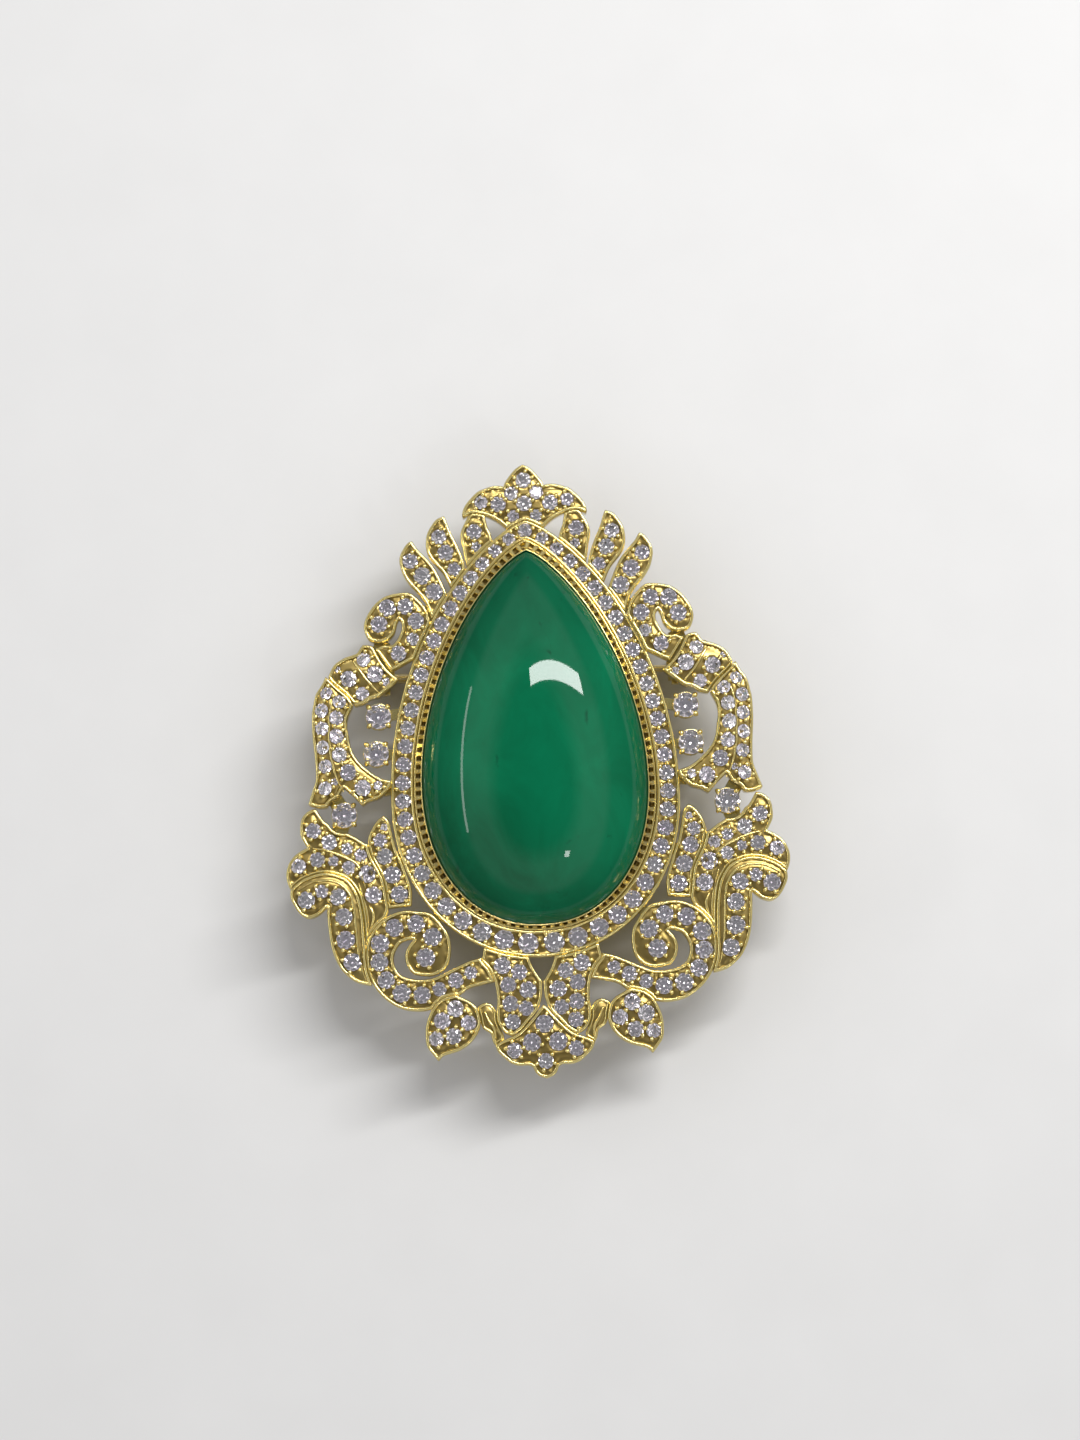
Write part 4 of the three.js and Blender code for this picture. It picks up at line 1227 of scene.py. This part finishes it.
def halo_stones(outer, inner):
    """Stones along the middle of the halo, larger towards the bottom, the same at both sides."""
    middle = (refine(outer, 6) + refine(inner, 6)) / 2
    top = int(np.argmax(middle[:, 1]))
    bottom = int(np.argmin(middle[:, 1]))
    ring = np.roll(middle, -top, axis=0)
    half = ring[: (bottom - top) % len(ring) + 1]
    travel = np.concatenate([[0], np.cumsum(np.linalg.norm(np.diff(half, axis=0), axis=1))])
    length = travel[-1]

    def swell(s):
        return max(0.0, (s / length - SWELL_START) / (1 - SWELL_START)) ** 1.2

    def radius(s):
        return (HALO_RADIUS[0] + HALO_RADIUS[1] * swell(s)) * MM

    spots = [0.0]
    while spots[-1] < length:
        gap = (HALO_GAP[0] + HALO_GAP[1] * swell(spots[-1])) * MM
        spots.append(spots[-1] + 2 * radius(spots[-1]) + gap)
    count = len(spots) - 1
    fit = (length - radius(length) - HALO_GAP[0] * MM) / spots[count - 1]
    stones = []
    for k in range(count):
        s = spots[k] * fit
        x = float(np.interp(s, travel, half[:, 0]))
        y = float(np.interp(s, travel, half[:, 1]))
        stones.append((x, y, radius(s)))
        if k:
            stones.append((-x, y, radius(s)))
    return stones


class BROOCH_OT_halo(bpy.types.Operator):
    """Build the pear band of stones round the bezel"""

    bl_idname = "brooch.halo"
    bl_label = "Halo"

    def execute(self, context):
        low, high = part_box("halo_ring")
        outer, inner = loops_at("halo_ring")
        stones = halo_stones(outer, inner)
        loops = [soldered(refine(outer, 4)), refine(inner, 4)]
        rng = random.Random(SEED)
        gold, crystals = pave(loops, stones, [], HALO_DOME, HALO_REACH, rng, low.z, high.z)
        gold.make_gold("halo_metal", "halo_ring")
        crystals.make_crystal("halo_stones")
        return {"FINISHED"}


# How strongly each ornament is domed, and how far in from its rails the dome is full, in millimetres.
DOMES = {
    "side_arm": (0.75, 1.7), "outer_volute": (0.45, 1.2), "lower_scroll": (0.3, 1.0), "cuff": (0.5, 1.8),
    "upper_scroll": (0.35, 1.0), "acanthus": (0.35, 1.6), "drop_leaf": (0.45, 1.8), "side_curl": (0.45, 0.7),
    "upright_leaf": (0.3, 1.0), "bottom_petal": (0.25, 1.2), "crest": (0.3, 1.4),
    "bottom_trefoil": (0.35, 1.4),
}
PLAIN_DOME = (0.25, 0.9)


def in_metres(stones):
    """Listed stones in metres, at the size that the settings give."""
    return [(x * MM, y * MM, r * MM * gems().size) for x, y, r in stones]


class BROOCH_OT_wreath(bpy.types.Operator):
    """Build the scrolls and leaves at both sides"""

    bl_idname = "brooch.wreath"
    bl_label = "Wreath"

    def execute(self, context):
        for number, (name, stones) in enumerate(SIDE_STONES.items()):
            node = f"{name}_right"
            low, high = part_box(node)
            loops = [soldered(smooth_loop(loops_at(node)[0]))]
            dome, reach = DOMES.get(name, PLAIN_DOME)
            rng = random.Random(SEED + number)
            gold, crystals = pave(
                loops, in_metres(stones), SIDE_RIDGES.get(name, []),
                dome * MM, reach * MM, rng, low.z, high.z,
            )
            for side, sign in SIDES:
                gold.at_side(sign).make_gold(f"{name}_metal_{side}", f"{name}_{side}")
                if stones:
                    crystals.at_side(sign).make_crystal(f"{name}_stones_{side}")
        return {"FINISHED"}


class BROOCH_OT_centre(bpy.types.Operator):
    """Build the crest and the trefoil on the brooch's axis"""

    bl_idname = "brooch.centre"
    bl_label = "Crest and Trefoil"

    def execute(self, context):
        for number, (name, half) in enumerate(CENTRE_STONES.items()):
            low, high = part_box(name)
            loops = [soldered(smooth_loop(loops_at(name)[0]))]
            stones = in_metres(half) + in_metres([(-x, y, r) for x, y, r in half if x])
            dome, reach = DOMES[name]
            rng = random.Random(SEED + CENTRE_SEED + number)
            gold, crystals = pave(loops, stones, [], dome * MM, reach * MM, rng, low.z, high.z)
            gold.make_gold(f"{name}_metal", name)
            crystals.make_crystal(f"{name}_stones")
        return {"FINISHED"}


class BROOCH_OT_accents(bpy.types.Operator):
    """Build the large round stones and their claw collets"""

    bl_idname = "brooch.accents"
    bl_label = "Accent Stones"

    def execute(self, context):
        for place in ("upper", "middle", "lower"):
            low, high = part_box(f"accent_stone_{place}_right")
            radius = (high.x - low.x) / 2
            cx = (high.x + low.x) / 2
            cy = (high.y + low.y) / 2
            girdle = high.z - 0.37 * radius
            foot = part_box(f"collet_{place}_right")[0].z
            stone = Shape()
            add_stone(stone, (cx, cy, girdle), radius, (0, 0, 1), 0.2)
            collet = Shape()
            wall = 0.2 * MM
            turned(collet, [
                (radius * 0.62, foot), (radius * 0.80, foot), (radius * 0.90, foot + 0.2 * MM),
                (radius * 0.88, girdle - 0.75 * MM), (radius * 1.04, girdle - 0.2 * MM),
                (radius * 1.03, girdle - 0.06 * MM), (radius * 0.93, girdle - 0.2 * MM),
                (radius * 0.93 - wall, girdle - 0.45 * MM), (radius * 0.45, girdle - 0.8 * MM),
            ], (cx, cy))
            claw = 0.25 * MM
            for k in range(4):
                angle = math.radians(45 + 90 * k)
                ray = np.array([math.cos(angle), math.sin(angle)])
                steps = [(0.95, foot + 0.05 * MM), (1.02, foot + 0.5 * MM), (1.12, girdle - 0.3 * MM),
                         (1.15, girdle + 0.1 * MM), (1.06, girdle + 0.3 * MM)]
                path = np.array([[cx + ray[0] * r * radius, cy + ray[1] * r * radius, z] for r, z in steps])
                tube(collet, spline(path, 0.12 * MM), claw * 0.85, claw * 0.85)
                tip = (cx + ray[0] * radius * 1.04, cy + ray[1] * radius * 1.04, girdle + 0.24 * MM)
                add_bead(collet, tip, claw * 1.15)
            for side, sign in SIDES:
                collet.at_side(sign).make_gold(f"collet_{place}_claws_{side}", f"collet_{place}_{side}")
                stone.at_side(sign).make_crystal(
                    f"accent_{place}_brilliant_{side}", f"accent_stone_{place}_{side}"
                )
        return {"FINISHED"}


def dress(node, kind, edge):
    """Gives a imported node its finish, and softens its edges."""
    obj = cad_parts[node]
    obj.data.materials.clear()
    obj.data.materials.append(finish_of(kind))
    weld = obj.modifiers.new("weld", "WELD")
    weld.merge_threshold = 1e-7
    bevel = obj.modifiers.new("soft_edges", "BEVEL")
    bevel.width = edge
    bevel.segments = 2
    bevel.limit_method = "ANGLE"
    bevel.angle_limit = math.radians(40)


class BROOCH_OT_backwork(bpy.types.Operator):
    """Finish the back frame, the gallery, the pin, its hinge and its catch"""

    bl_idname = "brooch.backwork"
    bl_label = "Back, Pin and Catch"

    def execute(self, context):
        for node in ("back_frame", "gallery_basket", "hinge_bracket", "hinge_rivet", "catch_housing",
                     "catch_roller"):
            dress(node, "gold", 0.07 * MM)
        dress("pin_stem", "wire", 0.04 * MM)
        return {"FINISHED"}


def aim(obj, target):
    """Turns a light to its target, with its height along the brooch's."""
    back = (obj.location - Vector(target)).normalized()
    up = (Vector((0, 1, 0)) - back * back.y).normalized()
    obj.rotation_euler = Matrix((up.cross(back), up, back)).transposed().to_euler()


def add_light(name, direction, size, size_y, power, target):
    """A soft rectangular light at LIGHT_DISTANCE from its target."""
    data = bpy.data.lights.new(name, "AREA")
    data.shape = "RECTANGLE"
    data.size = size
    data.size_y = size_y
    data.energy = power
    lamp = bpy.data.objects.new(name, data)
    bpy.context.scene.collection.objects.link(lamp)
    lamp.location = Vector(target) + Vector(direction).normalized() * LIGHT_DISTANCE
    aim(lamp, target)


# The stage, in metres.
FLOOR_HALF = 1.5
FLOOR_GAP = 0.2 * MM  # under the pin's fittings
LIGHT_DISTANCE = 0.5
VIEW_CENTRE = (0.55, 4.9)  # the view's middle, right of and above the brooch's, in millimetres
VIEW_HEIGHT = 0.1433  # of what the camera sees at the brooch's face
SENSOR = 36.0

# The sky's brightness at a few heights, from the horizon at 0 to overhead at 1.
SKY = ((0.40, 0.4), (0.52, 1.02), (0.79, 1.02), (0.91, 0.25))


class BROOCH_OT_stage(bpy.types.Operator):
    """Set the floor, the soft lights and the camera"""

    bl_idname = "brooch.stage"
    bl_label = "Stage"

    def execute(self, context):
        stage = context.scene.brooch_stage
        face = Vector((0, 0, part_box("halo_ring")[1].z))
        mesh = bpy.data.meshes.new("studio_floor")
        corners = ((-1, -1), (1, -1), (1, 1), (-1, 1))
        mesh.from_pydata([(x * FLOOR_HALF, y * FLOOR_HALF, 0) for x, y in corners], [], [(0, 1, 2, 3)])
        mesh.materials.append(finish_of("floor"))
        floor = bpy.data.objects.new("studio_floor", mesh)
        floor.location.z = CAD_BOX[0].z - FLOOR_GAP
        context.scene.collection.objects.link(floor)

        world = bpy.data.worlds.new("studio")
        context.scene.world = world
        world.use_nodes = True
        tree = world.node_tree
        background = tree.nodes["Background"]
        where = tree.nodes.new("ShaderNodeTexCoord").outputs["Generated"]
        height = add_node(tree, "ShaderNodeSeparateXYZ", links={"Vector": where}).outputs["Z"]
        ramp = add_node(tree, "ShaderNodeValToRGB", links={"Fac": height})
        bands = ramp.color_ramp.elements
        bands[0].position, bands[0].color = 0.05, (0.24, 0.24, 0.25, 1.0)
        bands[1].position, bands[1].color = 1.0, (0.18, 0.19, 0.20, 1.0)
        for position, shade in SKY:
            bands.new(position).color = (shade * 0.98, shade * 0.98, shade, 1.0)
        tree.links.new(ramp.outputs["Color"], background.inputs["Color"])
        background.inputs["Strength"].default_value = stage.fill

        add_light("key_window", (0.36, 0.45, 0.80), 0.42, 0.045, stage.key_power, face)
        add_light("low_window", (0.37, -0.51, 0.777), 0.035, 0.035, 0.09, face)
        add_light("side_strip", (-0.84, 0.10, 0.45), 0.02, 0.36, 0.2, face)

        camera_data = bpy.data.cameras.new("camera")
        camera = bpy.data.objects.new("camera", camera_data)
        context.scene.collection.objects.link(camera)
        turn = Matrix.Rotation(stage.roll, 3, "Z")
        back = turn @ Vector((0, -math.cos(stage.elevation), math.sin(stage.elevation)))
        right = turn @ Vector((1, 0, 0))
        up = back.cross(right)
        target = face + right * VIEW_CENTRE[0] * MM + up * VIEW_CENTRE[1] * MM
        camera.location = target + back * stage.distance
        camera.rotation_euler = Matrix((right, up, back)).transposed().to_euler()
        camera_data.sensor_fit = "VERTICAL"
        camera_data.sensor_height = SENSOR
        camera_data.lens = SENSOR * stage.distance / VIEW_HEIGHT
        camera_data.clip_start = 0.01
        context.scene.camera = camera
        context.scene.view_settings.view_transform = "Standard"
        return {"FINISHED"}


OPERATORS = (
    BROOCH_OT_stage,
    BROOCH_OT_cabochon,
    BROOCH_OT_bezel,
    BROOCH_OT_halo,
    BROOCH_OT_wreath,
    BROOCH_OT_centre,
    BROOCH_OT_accents,
    BROOCH_OT_backwork,
)
GROUPS = (BroochMetal, BroochStones, BroochStage)


class BROOCH_PT_panel(bpy.types.Panel):
    """Lists the brooch's pieces and its settings"""

    bl_idname = "BROOCH_PT_panel"
    bl_label = "Brooch"
    bl_space_type = "VIEW_3D"
    bl_region_type = "UI"
    bl_category = "Brooch"

    def draw(self, context):
        layout = self.layout
        for settings in (context.scene.brooch_metal, context.scene.brooch_stones, context.scene.brooch_stage):
            box = layout.box()
            for name in settings.__annotations__:
                box.prop(settings, name)
        for operator in OPERATORS:
            layout.operator(operator.bl_idname)


def register():
    """Adds the classes and the settings."""
    for kind in GROUPS + OPERATORS + (BROOCH_PT_panel,):
        bpy.utils.register_class(kind)
    bpy.types.Scene.brooch_metal = PointerProperty(type=BroochMetal)
    bpy.types.Scene.brooch_stones = PointerProperty(type=BroochStones)
    bpy.types.Scene.brooch_stage = PointerProperty(type=BroochStage)


def unregister():
    """Removes the settings and the classes."""
    del bpy.types.Scene.brooch_metal
    del bpy.types.Scene.brooch_stones
    del bpy.types.Scene.brooch_stage
    for kind in reversed(GROUPS + OPERATORS + (BROOCH_PT_panel,)):
        bpy.utils.unregister_class(kind)


def main():
    """Builds everything in order."""
    register()
    for operator in OPERATORS:
        step = getattr(bpy.ops.brooch, operator.bl_idname.split(".")[1])
        if step() != {"FINISHED"}:
            raise RuntimeError(f"{operator.bl_label} did not finish")
    bpy.context.view_layer.update()


if __name__ == "__main__":
    main()
